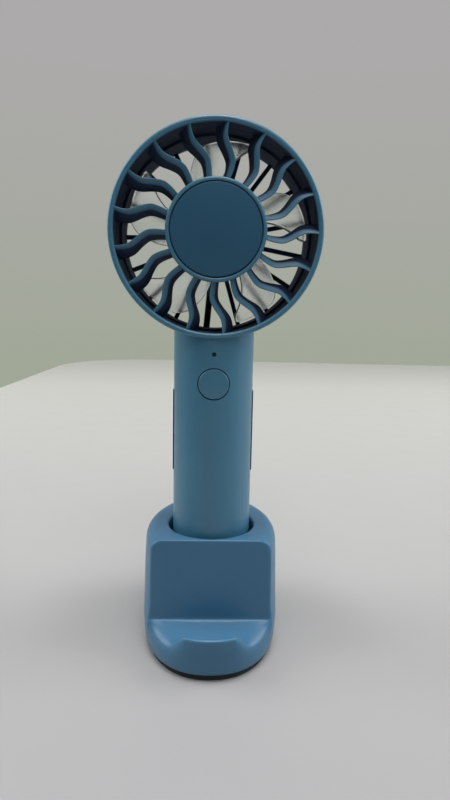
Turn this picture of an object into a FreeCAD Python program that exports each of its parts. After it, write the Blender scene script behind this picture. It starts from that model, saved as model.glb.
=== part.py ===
"""Handheld fan standing in a desk dock that is also a phone rest.

Frame: millimetres, +Z up. The dock stands on z = 0, the fan's handle axis is the Z axis,
and the fan blows towards -Y, over the phone rest.
"""
import FreeCAD, Part
import Sketcher
import math
import os
import re

Vector = FreeCAD.Vector
Placement = FreeCAD.Placement
Rotation = FreeCAD.Rotation

# ----------------------------------------------------------------------------------------------
# Driving dimensions: alias, value (mm, degrees or a count), meaning
# ----------------------------------------------------------------------------------------------
SIZES = [
    # dock
    ("dock_half_width", 30.9, "half width at the belly"),
    ("dock_front_reach", 46.2, "handle axis to the front tip"),
    ("dock_rear_reach", 44.0, "handle axis to the back"),
    ("dock_height", 51.8, "table to the top face"),
    ("dock_base_inset", 0.6, "belly to the bottom edge, inwards"),
    ("dock_neck_inset", 0.8, "belly to the shoulder's start, inwards"),
    ("dock_belly_height", 18.3, "table to the widest place"),
    ("dock_shoulder", 5.0, "radius of the top shoulder"),
    ("dock_wall", 2.4, "moulded wall"),
    ("foot_thickness", 2.1, "rubber pad under the dock"),
    ("foot_inset", 1.4, "pad edge to dock edge"),
    ("plate_thickness", 2.0, "base plate"),
    ("plate_gap", 0.15, "base plate to dock wall"),
    ("socket_mouth_radius", 19.9, "socket at the top face"),
    ("socket_floor_radius", 18.3, "socket at its floor"),
    ("socket_floor_height", 8.0, "table to the socket floor"),
    ("rest_wall", 1.8, "socket mouth to the phone plane's top edge"),
    ("rest_lean", 3.4, "phone plane, top edge to fold, forward"),
    ("rest_fold_height", 16.1, "table to the fold"),
    ("trough_reach", 40.5, "handle axis to the shelf's low line"),
    ("trough_height", 11.0, "table to the shelf's low line"),
    ("lip_height", 18.3, "table to the lip's top"),
    ("lip_top_half_width", 12.4, "half width of the lip's top"),
    ("lip_foot_half_width", 16.9, "half width of the lip at the shelf"),
    ("lip_thickness", 2.4, "lip, front to back"),
    ("dock_screw_radius", 1.2, "shank of a dock screw"),
    ("dock_screw_head_radius", 2.5, "head of a dock screw"),
    ("dock_screw_head", 1.3, "height of a dock screw's head"),
    ("dock_screw_length", 5.6, "shank length"),
    ("dock_boss_radius", 3.4, "screw boss in the dock"),
    ("dock_boss_side", 19.6, "side bosses, sideways from the axis"),
    ("dock_boss_back", 14.4, "side bosses, back from the axis"),
    ("dock_boss_front", 33.0, "front boss, forward from the axis"),
    # fan housing
    ("seat_gap", 0.2, "socket floor to the fan's bottom"),
    ("grip_length", 130.8, "fan's bottom to the drum's underside"),
    ("head_radius", 44.0, "drum, outside"),
    ("drum_wall", 2.3, "drum wall, front half"),
    ("rear_drum_wall", 3.3, "drum wall, rear half"),
    ("head_front", 18.9, "handle axis to the front rim"),
    ("head_back", 18.4, "handle axis to the rear edge"),
    ("rim_depth", 5.0, "front rim, front to back"),
    ("rim_round", 1.1, "edge rounding of the drum's rims"),
    ("spigot_depth", 4.6, "front rim's spigot in the drum"),
    ("spigot_wall", 1.1, "wall of that spigot"),
    ("fit_gap", 0.1, "clearance between fitted mouldings"),
    ("grip_radius", 17.8, "handle, outside"),
    ("grip_wall", 2.0, "handle wall"),
    ("cap_flange", 1.6, "bottom cap's flange"),
    ("cap_plug", 3.2, "bottom cap's plug inside the handle"),
    ("strip_length", 36.7, "grip strip, along the handle"),
    ("strip_base", 70.0, "fan's bottom to the strip's lower end"),
    ("strip_width", 5.2, "grip strip, front to back"),
    ("strip_proud", 0.4, "grip strip above the handle's surface"),
    ("strip_sink", 0.9, "grip strip below the handle's surface"),
    ("case_screw_radius", 1.0, "shank of a case screw"),
    ("case_screw_head_radius", 1.9, "head of a case screw"),
    ("case_screw_head", 1.2, "height of a case screw's head"),
    ("case_screw_length", 7.0, "shank length"),
    ("boss_gap", 0.4, "bottom cap to the lower screw boss"),
    ("case_screw_drop", 14.0, "charging socket's centre to the upper screw"),
    ("case_boss_radius", 2.9, "screw boss in the handle"),
    ("case_screw_sink", 1.0, "screw head below the handle's back"),
    # grilles
    ("vane_count", 17, "wavy vanes in the front grille"),
    ("vane_phase", -1.0, "angle of the first vane's outer end"),
    ("vane_front_width", 1.0, "vane at its front edge"),
    ("vane_back_width", 1.6, "vane at its back edge"),
    ("vane_depth", 9.0, "vane, front to back"),
    ("vane_twist", 5.5, "turn of a vane from front to back"),
    ("vane_setback", 0.5, "vane behind the front rim's face"),
    ("hub_ring_radius", 20.7, "front hub ring, outside"),
    ("cap_radius", 18.6, "cap disc"),
    ("cap_gap", 0.5, "groove round the cap disc"),
    ("hub_front", 19.8, "handle axis to the hub ring's face"),
    ("cap_thickness", 1.8, "cap disc"),
    ("hub_web", 1.6, "web behind the cap disc"),
    ("hub_depth", 6.3, "hub ring, front to back"),
    ("spoke_count", 17, "straight spokes in the rear grille"),
    ("spoke_phase", -95.0, "angle of the first rear spoke"),
    ("spoke_width", 1.9, "rear spoke"),
    ("spoke_depth", 3.6, "rear spoke, front to back"),
    ("rear_ring_wall", 1.4, "rear grille's outer ring"),
    ("rear_ring_depth", 7.0, "rear grille's outer ring, front to back"),
    ("rear_hub_radius", 18.0, "rear grille's hub disc"),
    ("rear_hub_thickness", 2.4, "rear grille's hub disc"),
    ("rear_setback", 0.8, "rear grille behind the drum's edge, inwards"),
    # impeller and motor
    ("blade_count", 5, "impeller blades"),
    ("blade_phase", 82.0, "angle of the first blade's tip"),
    ("tip_gap", 2.1, "drum to the impeller's tips"),
    ("blade_root_span", 34.0, "blade at the hub, degrees"),
    ("blade_tip_span", 37.0, "blade at the tip, degrees"),
    ("blade_sweep", 22.0, "tip behind the root, degrees"),
    ("blade_front", 7.0, "head centre to the blade's front edge"),
    ("blade_back", 8.0, "head centre to the blade's rear edge"),
    ("blade_thickness", 1.2, "blade"),
    ("blade_camber", 2.0, "hollow of a blade"),
    ("rotor_hub_radius", 17.0, "impeller hub, outside"),
    ("rotor_hub_wall", 1.5, "impeller hub wall"),
    ("rotor_hub_front", 12.0, "head centre to the impeller hub's face"),
    ("yoke_wall", 1.1, "steel rotor cup"),
    ("yoke_back", 7.2, "head centre to the rotor cup's open edge"),
    ("magnet_wall", 1.9, "magnet ring"),
    ("magnet_front", 5.0, "head centre to the magnet ring's front"),
    ("magnet_back", 6.4, "head centre to the magnet ring's back"),
    ("air_gap", 0.35, "magnets to stator"),
    ("stator_front", 3.0, "head centre to the stator's front"),
    ("stator_back", 4.0, "head centre to the stator's back"),
    ("stator_teeth", 9, "stator teeth"),
    ("stator_yoke", 1.7, "iron ring round the bearing tube"),
    ("tooth_width", 2.0, "stator tooth"),
    ("shoe_thickness", 1.2, "tooth shoe"),
    ("coil_width", 1.0, "winding beside a tooth"),
    ("coil_proud", 1.3, "winding in front of and behind the iron"),
    ("bearing_tube_radius", 4.2, "bearing tube, outside"),
    ("bearing_radius", 3.0, "bearing, outside"),
    ("bearing_length", 3.0, "bearing"),
    ("bearing_front", 6.0, "head centre to the front bearing's face"),
    ("rear_bearing_back", 12.0, "head centre to the rear bearing's back"),
    ("shaft_radius", 1.0, "motor shaft"),
    ("shaft_clearance", 0.03, "shaft to bearing bore"),
    ("shaft_back", 12.6, "head centre to the shaft's rear end"),
    ("motor_board_thickness", 1.0, "motor circuit board"),
    ("motor_board_back", 9.4, "head centre to the motor board's back"),
    ("motor_board_radius", 11.4, "motor circuit board"),
    # handle contents
    ("cell_radius", 9.2, "battery cell"),
    ("cell_length", 65.0, "battery cell"),
    ("cell_base", 12.5, "fan's bottom to the cell"),
    ("cradle_wall", 1.2, "battery cradle"),
    ("cradle_end", 2.0, "battery cradle's end discs"),
    ("board_thickness", 1.2, "circuit boards"),
    ("control_board_face", 8.4, "handle axis to the control board's front"),
    ("control_board_width", 23.0, "control board"),
    ("board_below_button", 13.6, "button's centre to the control board's lower edge"),
    ("board_above_led", 3.7, "light to the control board's upper edge"),
    ("charging_board_face", 8.4, "handle axis to the charging board's back"),
    ("charging_board_width", 18.0, "charging board"),
    ("board_below_usb", 10.0, "charging socket's centre to its board's lower edge"),
    ("charging_board_length", 22.0, "charging board"),
    ("post_radius", 1.6, "posts that carry the boards"),
    ("button_height", 111.6, "fan's bottom to the button's centre"),
    ("button_radius", 6.5, "power button"),
    ("button_gap", 0.45, "groove round the button"),
    ("button_sink", 0.1, "button's face behind the handle's front"),
    ("button_back", 12.4, "handle axis to the button's flange"),
    ("button_flange", 0.7, "button's flange"),
    ("button_flange_radius", 7.8, "button's flange"),
    ("collar_wall", 1.4, "collar round the button"),
    ("button_travel", 0.5, "button's stroke"),
    ("switch_side", 6.0, "tact switch, width and height"),
    ("switch_depth", 2.4, "tact switch"),
    ("plunger_radius", 1.5, "tact switch plunger"),
    ("led_rise", 12.7, "button's centre to the light"),
    ("led_radius", 0.95, "light pipe"),
    ("led_chip_side", 1.6, "light chip"),
    ("led_chip_depth", 0.9, "light chip"),
    ("usb_drop", 9.6, "charging socket's centre below the button's"),
    ("usb_width", 9.0, "charging socket"),
    ("usb_thickness", 3.2, "charging socket"),
    ("usb_wall", 0.35, "charging socket's shell"),
    ("usb_sink", 0.7, "socket's mouth behind the handle's back"),
    ("wire_radius", 0.65, "hook-up wire"),
    ("wire_bend", 2.2, "bend radius of a wire"),
    ("wire_pitch", 1.7, "wires of a pair, centre to centre"),
]

# ----------------------------------------------------------------------------------------------
# Document, sheet and helpers
# ----------------------------------------------------------------------------------------------
doc = FreeCAD.newDocument("desk_fan")
sheet = doc.addObject("Spreadsheet::Sheet", "sizes")
for row, (alias, amount, meaning) in enumerate(SIZES, start=1):
    sheet.set(f"A{row}", alias)
    sheet.set(f"B{row}", str(amount))
    sheet.set(f"C{row}", meaning)
    sheet.setAlias(f"B{row}", alias)
doc.recompute()

ALIASES = {alias for alias, amount, meaning in SIZES}
# Places and sizes that follow from the driving dimensions
DERIVED = {
    "seat": "(socket_floor_height + seat_gap)",
    "head_rise": "(grip_length + head_radius)",
    "head_centre": "(seat + head_rise)",
    "head_bore": "(head_radius - drum_wall)",
    "rear_bore": "(head_radius - rear_drum_wall)",
    "drum_seat": "(rim_depth - head_front)",
    "spigot_end": "(drum_seat + spigot_depth)",
    "spigot_radius": "(head_bore + spigot_wall)",
    "grip_bore": "(grip_radius - grip_wall)",
    "grip_middle": "(grip_radius - grip_wall / 2)",
    "grille_back": "(head_back - rear_setback)",
    "spoke_front": "(grille_back - spoke_depth)",
    "rear_ring_radius": "(rear_bore + rear_ring_wall)",
    "rear_ring_front": "(grille_back - rear_ring_depth)",
    "wire_lane": "(spoke_front - wire_radius - fit_gap)",
    "blade_tip_radius": "(rear_bore - tip_gap)",
    "yoke_radius": "(rotor_hub_radius - rotor_hub_wall - fit_gap / 2)",
    "yoke_front": "(rotor_hub_wall - rotor_hub_front)",
    "magnet_radius": "(yoke_radius - yoke_wall)",
    "stator_radius": "(magnet_radius - magnet_wall - air_gap)",
    "strip_centre": "(seat + strip_base + strip_length / 2)",
    "button_centre": "(seat + button_height)",
    "led_centre": "(button_centre + led_rise)",
    "usb_centre": "(button_centre - usb_drop)",
    "control_base": "(button_centre - board_below_button)",
    "control_board_length": "(board_below_button + led_rise + board_above_led)",
    "control_centre": "(control_base + control_board_length / 2)",
    "charging_base": "(usb_centre - board_below_usb)",
    "charging_centre": "(charging_base + charging_board_length / 2)",
    "screw_low": "(seat + cap_flange + cap_plug + boss_gap + case_boss_radius)",
    "screw_high": "(usb_centre - case_screw_drop)",
    "far": "(2 * dock_front_reach)",
    "rest_top_reach": "(socket_mouth_radius + rest_wall)",
    "rest_fold_reach": "(rest_top_reach + rest_lean)",
    "post_outside": "(socket_mouth_radius + dock_wall)",
    "plate_top": "(foot_thickness + plate_thickness)",
    "shelf_underside": "(trough_height - dock_wall)",
}
TOWARDS = {
    "x": Rotation(Vector(0, 1, 0), 90),
    "y": Rotation(Vector(1, 0, 0), -90),
    "z": Rotation(),
}
nodes = []


def spelt_out(formula):
    """The formula in driving dimensions alone."""
    longer = re.sub(r"[a-z]\w*", lambda word: DERIVED.get(word[0], word[0]), formula)
    return formula if longer == formula else spelt_out(longer)


def linked(formula):
    """The formula with every alias pointing at the sheet."""
    return re.sub(r"[a-z]\w*", lambda word: "sizes." + word[0] if word[0] in ALIASES else word[0],
                  spelt_out(formula))


def amount_of(formula):
    """The formula's present value."""
    return float(sheet.evalExpression(spelt_out(formula)))


def bind(item, **formulas):
    """Bind properties to formulas; a double underscore in a name stands for a dot."""
    for name, formula in formulas.items():
        item.setExpression(name.replace("__", "."), linked(formula))
    return item


def put(item, at):
    """Bind the three coordinates of an object's place."""
    return bind(item, Placement__Base__x=at[0], Placement__Base__y=at[1], Placement__Base__z=at[2])


def rod(name, along, radius, length, at):
    """A cylinder that starts at a place and runs along x, y or z."""
    item = doc.addObject("Part::Cylinder", name)
    item.Placement = Placement(Vector(), TOWARDS[along])
    return put(bind(item, Radius=radius, Height=length), at)


def block(name, across, deep, tall, at):
    """A box, centred on a place in x and z, that runs from it along +Y."""
    item = doc.addObject("Part::Box", name)
    bind(item, Length=across, Width=deep, Height=tall)
    return put(item, (f"{at[0]} - ({across}) / 2", at[1], f"{at[2]} - ({tall}) / 2"))


def join(name, *pieces):
    """Pieces fused to one."""
    item = doc.addObject("Part::MultiFuse", name)
    item.Shapes = list(pieces)
    return item


def cut(name, base, *tools):
    """A base less its tools."""
    item = doc.addObject("Part::Cut", name)
    item.Base = base
    item.Tool = tools[0] if len(tools) == 1 else join(f"{name}_tools", *tools)
    return item


def common(name, first, second):
    """What two pieces share."""
    item = doc.addObject("Part::Common", name)
    item.Base = first
    item.Tool = second
    return item


def collected(name, pieces):
    """Separate solids that share one node."""
    item = doc.addObject("Part::Compound", name)
    item.Links = list(pieces)
    return item


def formed(name, shape):
    """A piece whose shape is made with Part's own functions."""
    item = doc.addObject("Part::Feature", name)
    item.Shape = shape
    return item


def node(label, item):
    """Name a finished sub-part and list it for export."""
    item.Label = label
    nodes.append(item)
    return item


def new_body(name, at=("0", "0", "0")):
    """An empty body at a place."""
    return put(doc.addObject("PartDesign::Body", name), at)


def new_sketch(owner, name, plane, offset="0"):
    """A sketch on one of a body's own planes, moved along that plane's normal."""
    sketch = owner.newObject("Sketcher::SketchObject", name)
    support = next(item for item in owner.Origin.OriginFeatures if item.Role == plane)
    sketch.AttachmentSupport = (support, [""])
    sketch.MapMode = "FlatFace"
    return bind(sketch, AttachmentOffset__Base__z=offset)


def fix_point(sketch, edge, end, across, up):
    """Tie one end of a sketch edge to the sketch's origin."""
    for kind, formula in (("DistanceX", across), ("DistanceY", up)):
        index = sketch.addConstraint(
            Sketcher.Constraint(kind, -1, 1, edge, end, amount_of(formula)))
        sketch.setExpression(f"Constraints[{index}]", linked(formula))


def polygon(owner, name, plane, corners, offset="0"):
    """A closed outline whose corners are pairs of formulas."""
    sketch = new_sketch(owner, name, plane, offset)
    ends = [Vector(amount_of(across), amount_of(up), 0) for across, up in corners]
    for index, start in enumerate(ends):
        sketch.addGeometry(Part.LineSegment(start, ends[(index + 1) % len(ends)]))
    for index, corner in enumerate(corners):
        sketch.addConstraint(
            Sketcher.Constraint("Coincident", index, 2, (index + 1) % len(corners), 1))
        fix_point(sketch, index, 1, *corner)
    return sketch


def revolved(owner, sketch, kind="PartDesign::Revolution"):
    """Turn an outline about its sketch's vertical axis, adding or cutting."""
    feature = owner.newObject(kind, f"{sketch.Name}_turn")
    feature.Profile = sketch
    feature.ReferenceAxis = (sketch, ["V_Axis"])
    feature.Angle = 360
    return feature


def turned(name, corners, along="y", at=("0", "0", "head_centre")):
    """A body of revolution from (radius, distance along the axis) corners."""
    owner = new_body(name, at)
    plane = "XY_Plane" if along == "y" else "XZ_Plane"
    revolved(owner, polygon(owner, f"{name}_outline", plane, corners))
    return owner


def ring_corners(inner, outer, start, end):
    """The four corners of a plain ring's section."""
    return [(inner, start), (outer, start), (outer, end), (inner, end)]


def wire_path(points, radius, bend):
    """A round wire along straight runs joined by tangent arcs."""
    edges = []
    start = points[0]
    for before, corner, after in zip(points, points[1:], points[2:]):
        inward = (before - corner).normalize()
        outward = (after - corner).normalize()
        half_turn = (math.pi - inward.getAngle(outward)) / 2
        reach = bend * math.tan(half_turn)
        middle = (inward + outward).normalize() * (bend / math.cos(half_turn) - bend)
        arc_start = corner + inward * reach
        arc_end = corner + outward * reach
        edges.append(Part.LineSegment(start, arc_start).toShape())
        edges.append(Part.Arc(arc_start, corner + middle, arc_end).toShape())
        start = arc_end
    edges.append(Part.LineSegment(start, points[-1]).toShape())
    spine = Part.Wire(edges)
    first_run = (points[1] - points[0]).normalize()
    section = Part.Wire([Part.Circle(points[0], first_run, radius).toShape()])
    return spine.makePipeShell([section], True, False)


# ----------------------------------------------------------------------------------------------
# Dock
# ----------------------------------------------------------------------------------------------
def egg_form(inset):
    """The dock's outer form, less a wall all round, down to below the table: a bellied half
    turned at the back and another at the front, each stretched to its reach."""
    belly = amount_of("dock_half_width") - inset
    top = amount_of("dock_height") - inset
    base_radius = belly - amount_of("dock_base_inset")
    neck_radius = belly - amount_of("dock_neck_inset")
    shoulder = amount_of("dock_shoulder")
    base_height = amount_of("foot_thickness")
    bottom = -amount_of("dock_wall")
    neck_height = top - shoulder
    shoulder_mid = shoulder * math.sqrt(0.5)
    shoulder_centre = Vector(neck_radius - shoulder, 0, neck_height)
    flank = Part.Arc(Vector(base_radius, 0, base_height),
                     Vector(belly, 0, amount_of("dock_belly_height")),
                     Vector(neck_radius, 0, neck_height))
    round_off = Part.Arc(Vector(neck_radius, 0, neck_height),
                         shoulder_centre + Vector(shoulder_mid, 0, shoulder_mid),
                         Vector(neck_radius - shoulder, 0, top))
    corners = [Vector(neck_radius - shoulder, 0, top), Vector(0, 0, top), Vector(0, 0, bottom),
               Vector(base_radius, 0, bottom), Vector(base_radius, 0, base_height)]
    straights = [Part.LineSegment(start, end).toShape()
                 for start, end in zip(corners, corners[1:])]
    outline = Part.Wire([flank.toShape(), round_off.toShape(), *straights])
    half = Part.Face(outline).revolve(Vector(), Vector(0, 0, 1), 180)
    halves = []
    for direction, reach in ((1, "dock_rear_reach"), (-1, "dock_front_reach")):
        stretch = FreeCAD.Matrix()
        stretch.A22 = direction * (amount_of(reach) - inset) / belly
        halves.append(half.transformGeometry(stretch))
    return halves[0].fuse(halves[1]).removeSplitter()


BOSSES = [
    ("left", "-dock_boss_side", "dock_boss_back"),
    ("right", "dock_boss_side", "dock_boss_back"),
    ("front", "0", "-dock_boss_front"),
]


def make_dock_body():
    """Dock moulding: socket for the handle, leaning phone plane, sloping shelf and lip."""
    above_foot = block("above_foot", "far", "2 * far", "far",
                       ("0", "-far", "foot_thickness + far / 2"))
    outer = common("dock_form", formed("dock_egg", egg_form(0.0)), above_foot)
    rest = new_body("rest_gap", ("-far / 2", "0", "0"))
    rest_outline = polygon(rest, "rest_outline", "YZ_Plane", [
        ("-rest_fold_reach", "rest_fold_height"),
        ("-trough_reach", "trough_height"),
        ("-far", "trough_height"),
        ("-far", "2 * dock_height"),
        ("-rest_top_reach + dock_height * rest_lean / (dock_height - rest_fold_height)",
         "2 * dock_height"),
    ])
    rest_pad = rest.newObject("PartDesign::Pad", "rest_pad")
    rest_pad.Profile = rest_outline
    bind(rest_pad, Length="far")
    lip = new_body("lip_prism")
    lip_slope = "(lip_foot_half_width - lip_top_half_width) / (lip_height - trough_height)"
    lip_root = f"(lip_foot_half_width + trough_height / 2 * {lip_slope})"
    lip_outline = polygon(lip, "lip_outline", "XZ_Plane", [
        (f"-{lip_root}", "trough_height / 2"),
        (lip_root, "trough_height / 2"),
        ("lip_top_half_width", "lip_height"),
        ("-lip_top_half_width", "lip_height"),
    ])
    lip_pad = lip.newObject("PartDesign::Pad", "lip_pad")
    lip_pad.Profile = lip_outline
    bind(lip_pad, Length="far")
    lip_inside = formed("lip_inside", egg_form(amount_of("lip_thickness")))
    kept_lip = cut("kept_lip", lip, lip_inside)
    rest_tool = cut("rest_tool", rest, kept_lip)

    socket = doc.addObject("Part::Cone", "socket")
    bind(socket, Radius1="socket_floor_radius", Radius2="socket_mouth_radius",
         Height="dock_height - socket_floor_height")
    put(socket, ("0", "0", "socket_floor_height"))

    hollow_form = formed("hollow_form", egg_form(amount_of("dock_wall")))
    low_slab = block("low_slab", "far", "2 * far", "shelf_underside",
                     ("0", "-far", "shelf_underside / 2"))
    high_slab = block("high_slab", "far", "far", "dock_height - dock_wall - trough_height / 2",
                      ("0", "dock_wall * 1.5 - rest_top_reach",
                       "(dock_height - dock_wall + trough_height / 2) / 2"))
    post = rod("socket_post", "z", "post_outside", "dock_height", ("0", "0", "plate_top"))
    low_hollow = common("low_hollow", hollow_form, low_slab)
    high_hollow = common("high_hollow", hollow_form, high_slab)
    bosses = [rod(f"boss_{side}", "z", "dock_boss_radius", "shelf_underside", (x, y, "plate_top"))
              for side, x, y in BOSSES]
    hollow = cut("dock_hollow", join("hollow_space", low_hollow, high_hollow), post, *bosses)
    pilots = [rod(f"pilot_{side}", "z", "dock_screw_radius",
                  "dock_screw_length + dock_screw_head", (x, y, "foot_thickness"))
              for side, x, y in BOSSES]
    node("dock_body", cut("dock_body", outer, rest_tool, socket, hollow, *pilots))


def make_dock_base():
    """Base plate in the dock's bottom, its screws and the rubber pad that hides them."""
    plate_form = formed("plate_form", egg_form(amount_of("dock_wall + plate_gap")))
    plate_slab = block("plate_slab", "far", "2 * far", "plate_thickness",
                       ("0", "-far", "foot_thickness + plate_thickness / 2"))
    openings = []
    screws = []
    for side, x, y in BOSSES:
        openings.append(rod(f"plate_sink_{side}", "z", "dock_screw_head_radius + fit_gap",
                            "dock_screw_head", (x, y, "foot_thickness")))
        openings.append(rod(f"plate_hole_{side}", "z", "dock_screw_radius + fit_gap",
                            "plate_thickness", (x, y, "foot_thickness")))
        head = rod(f"screw_head_{side}", "z", "dock_screw_head_radius", "dock_screw_head",
                   (x, y, "foot_thickness"))
        shank = rod(f"screw_shank_{side}", "z", "dock_screw_radius",
                    "dock_screw_head + dock_screw_length", (x, y, "foot_thickness"))
        screws.append(join(f"dock_screw_{side}", head, shank))
    plate = common("plate_blank", plate_form, plate_slab)
    node("dock_base_plate", cut("dock_base_plate", plate, *openings))
    node("dock_screws", collected("dock_screws", screws))
    pad_form = formed("pad_form", egg_form(amount_of("foot_inset")))
    pad_slab = block("pad_slab", "far", "2 * far", "foot_thickness",
                     ("0", "-far", "foot_thickness / 2"))
    node("dock_foot_pad", common("dock_foot_pad", pad_form, pad_slab))


# ----------------------------------------------------------------------------------------------
# Fan housing: two shells split through the handle axis, bottom cap, strips and screws
# ----------------------------------------------------------------------------------------------
CONTROL_POST = ("control_board_width / 2 - post_radius", "control_board_length / 2 - post_radius")
CHARGING_POST = ("charging_board_width / 2 - post_radius",
                 "charging_board_length / 2 - post_radius")


def grip_half(owner, name, side):
    """Half of the handle's tube: side is -1 for the front half and 1 for the rear half."""
    sketch = new_sketch(owner, name, "XY_Plane", "cap_flange - head_rise")
    outer, inner = amount_of("grip_radius"), amount_of("grip_bore")
    first, last = (0, math.pi) if side > 0 else (math.pi, 2 * math.pi)
    up = Vector(0, 0, 1)
    sketch.addGeometry(Part.ArcOfCircle(Part.Circle(Vector(), up, outer), first, last))
    sketch.addGeometry(Part.ArcOfCircle(Part.Circle(Vector(), up, inner), first, last))
    for sign in (1, -1):
        sketch.addGeometry(Part.LineSegment(Vector(sign * inner, 0, 0), Vector(sign * outer, 0, 0)))
    right_end, left_end = (1, 2) if side > 0 else (2, 1)
    for arc, radius in ((0, "grip_radius"), (1, "grip_bore")):
        sketch.addConstraint(Sketcher.Constraint("Coincident", arc, 3, -1, 1))
        index = sketch.addConstraint(Sketcher.Constraint("Radius", arc, amount_of(radius)))
        sketch.setExpression(f"Constraints[{index}]", linked(radius))
        sketch.addConstraint(Sketcher.Constraint("PointOnObject", arc, 1, -1))
        sketch.addConstraint(Sketcher.Constraint("PointOnObject", arc, 2, -1))
    for line, end in ((2, right_end), (3, left_end)):
        sketch.addConstraint(Sketcher.Constraint("Coincident", line, 1, 1, end))
        sketch.addConstraint(Sketcher.Constraint("Coincident", line, 2, 0, end))
    tube = owner.newObject("PartDesign::Pad", f"{name}_pad")
    tube.Profile = sketch
    bind(tube, Length="head_rise - cap_flange - head_bore + grip_radius")


def board_posts(prefix, centre, offsets, start, end):
    """Four posts for a board, from one depth to another."""
    return [rod(f"{prefix}_{side}{level}", "y", "post_radius", f"{end} - ({start})",
                (f"{side}1 * ({offsets[0]})", start, f"{centre} {level} ({offsets[1]})"))
            for side in "+-" for level in "+-"]


def strip_recess(name):
    """Room for both grip strips, in the shells' flanks."""
    band = block(f"{name}_band", "3 * grip_radius", "strip_width + 2 * fit_gap",
                 "strip_length + 2 * fit_gap", ("0", "-strip_width / 2 - fit_gap", "strip_centre"))
    core = rod(f"{name}_core", "z", "grip_radius - strip_sink - fit_gap", "head_rise",
               ("0", "0", "seat"))
    return cut(name, band, core)


def make_front_shell():
    """Front half of the handle and of the drum, with the button's collar and board posts."""
    shell = new_body("front_half", ("0", "0", "head_centre"))
    grip_half(shell, "front_grip", -1)
    clear_of_rim = polygon(shell, "front_clear", "XY_Plane", [
        ("0", "-2 * head_front"), ("head_radius + fit_gap", "-2 * head_front"),
        ("head_radius + fit_gap", "drum_seat"), ("head_bore", "drum_seat"),
        ("head_bore", "head_front"), ("0", "head_front")])
    revolved(shell, clear_of_rim, "PartDesign::Groove")
    wall = polygon(shell, "front_wall", "XY_Plane", [
        ("spigot_radius + fit_gap", "drum_seat"), ("head_radius", "drum_seat"),
        ("head_radius", "0"), ("head_bore", "0"), ("head_bore", "spigot_end + fit_gap"),
        ("spigot_radius + fit_gap", "spigot_end + fit_gap")])
    revolved(shell, wall)
    spigot_room = polygon(shell, "spigot_room", "XY_Plane", ring_corners(
        "head_bore / 2", "spigot_radius + fit_gap", "drum_seat - fit_gap",
        "spigot_end + fit_gap"))
    revolved(shell, spigot_room, "PartDesign::Groove")

    collar = rod("collar", "y", "button_radius + button_gap + collar_wall",
                 "grip_radius - button_back - fit_gap", ("0", "-grip_radius", "button_centre"))
    skin = rod("collar_skin", "z", "grip_middle", "head_rise", ("0", "0", "seat"))
    posts = board_posts("control_post", "control_centre", CONTROL_POST,
                        "-grip_radius", "-control_board_face")
    inner_fittings = common("front_fittings", join("front_fitting_set", collar, *posts), skin)
    holes = [
        rod("button_hole", "y", "button_radius + button_gap", "grip_radius",
            ("0", "-1.5 * grip_radius", "button_centre")),
        rod("led_hole", "y", "led_radius", "grip_radius", ("0", "-1.5 * grip_radius", "led_centre")),
        strip_recess("front_strip_recess"),
    ]
    node("front_shell", cut("front_shell", join("front_moulding", shell, inner_fittings), *holes))


def slot(name, across, tall, deep, at):
    """A flat-sided slot with round ends that runs along +Y."""
    straight = block(f"{name}_middle", f"({across}) - ({tall})", deep, tall, at)
    ends = [rod(f"{name}_end{sign}", "y", f"({tall}) / 2", deep,
                (f"{at[0]} {sign} (({across}) - ({tall})) / 2", at[1], at[2])) for sign in "+-"]
    return join(name, straight, *ends)


def case_screw_places():
    """Height formulas of the two case screws."""
    return [("low", "screw_low"), ("high", "screw_high")]


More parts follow.
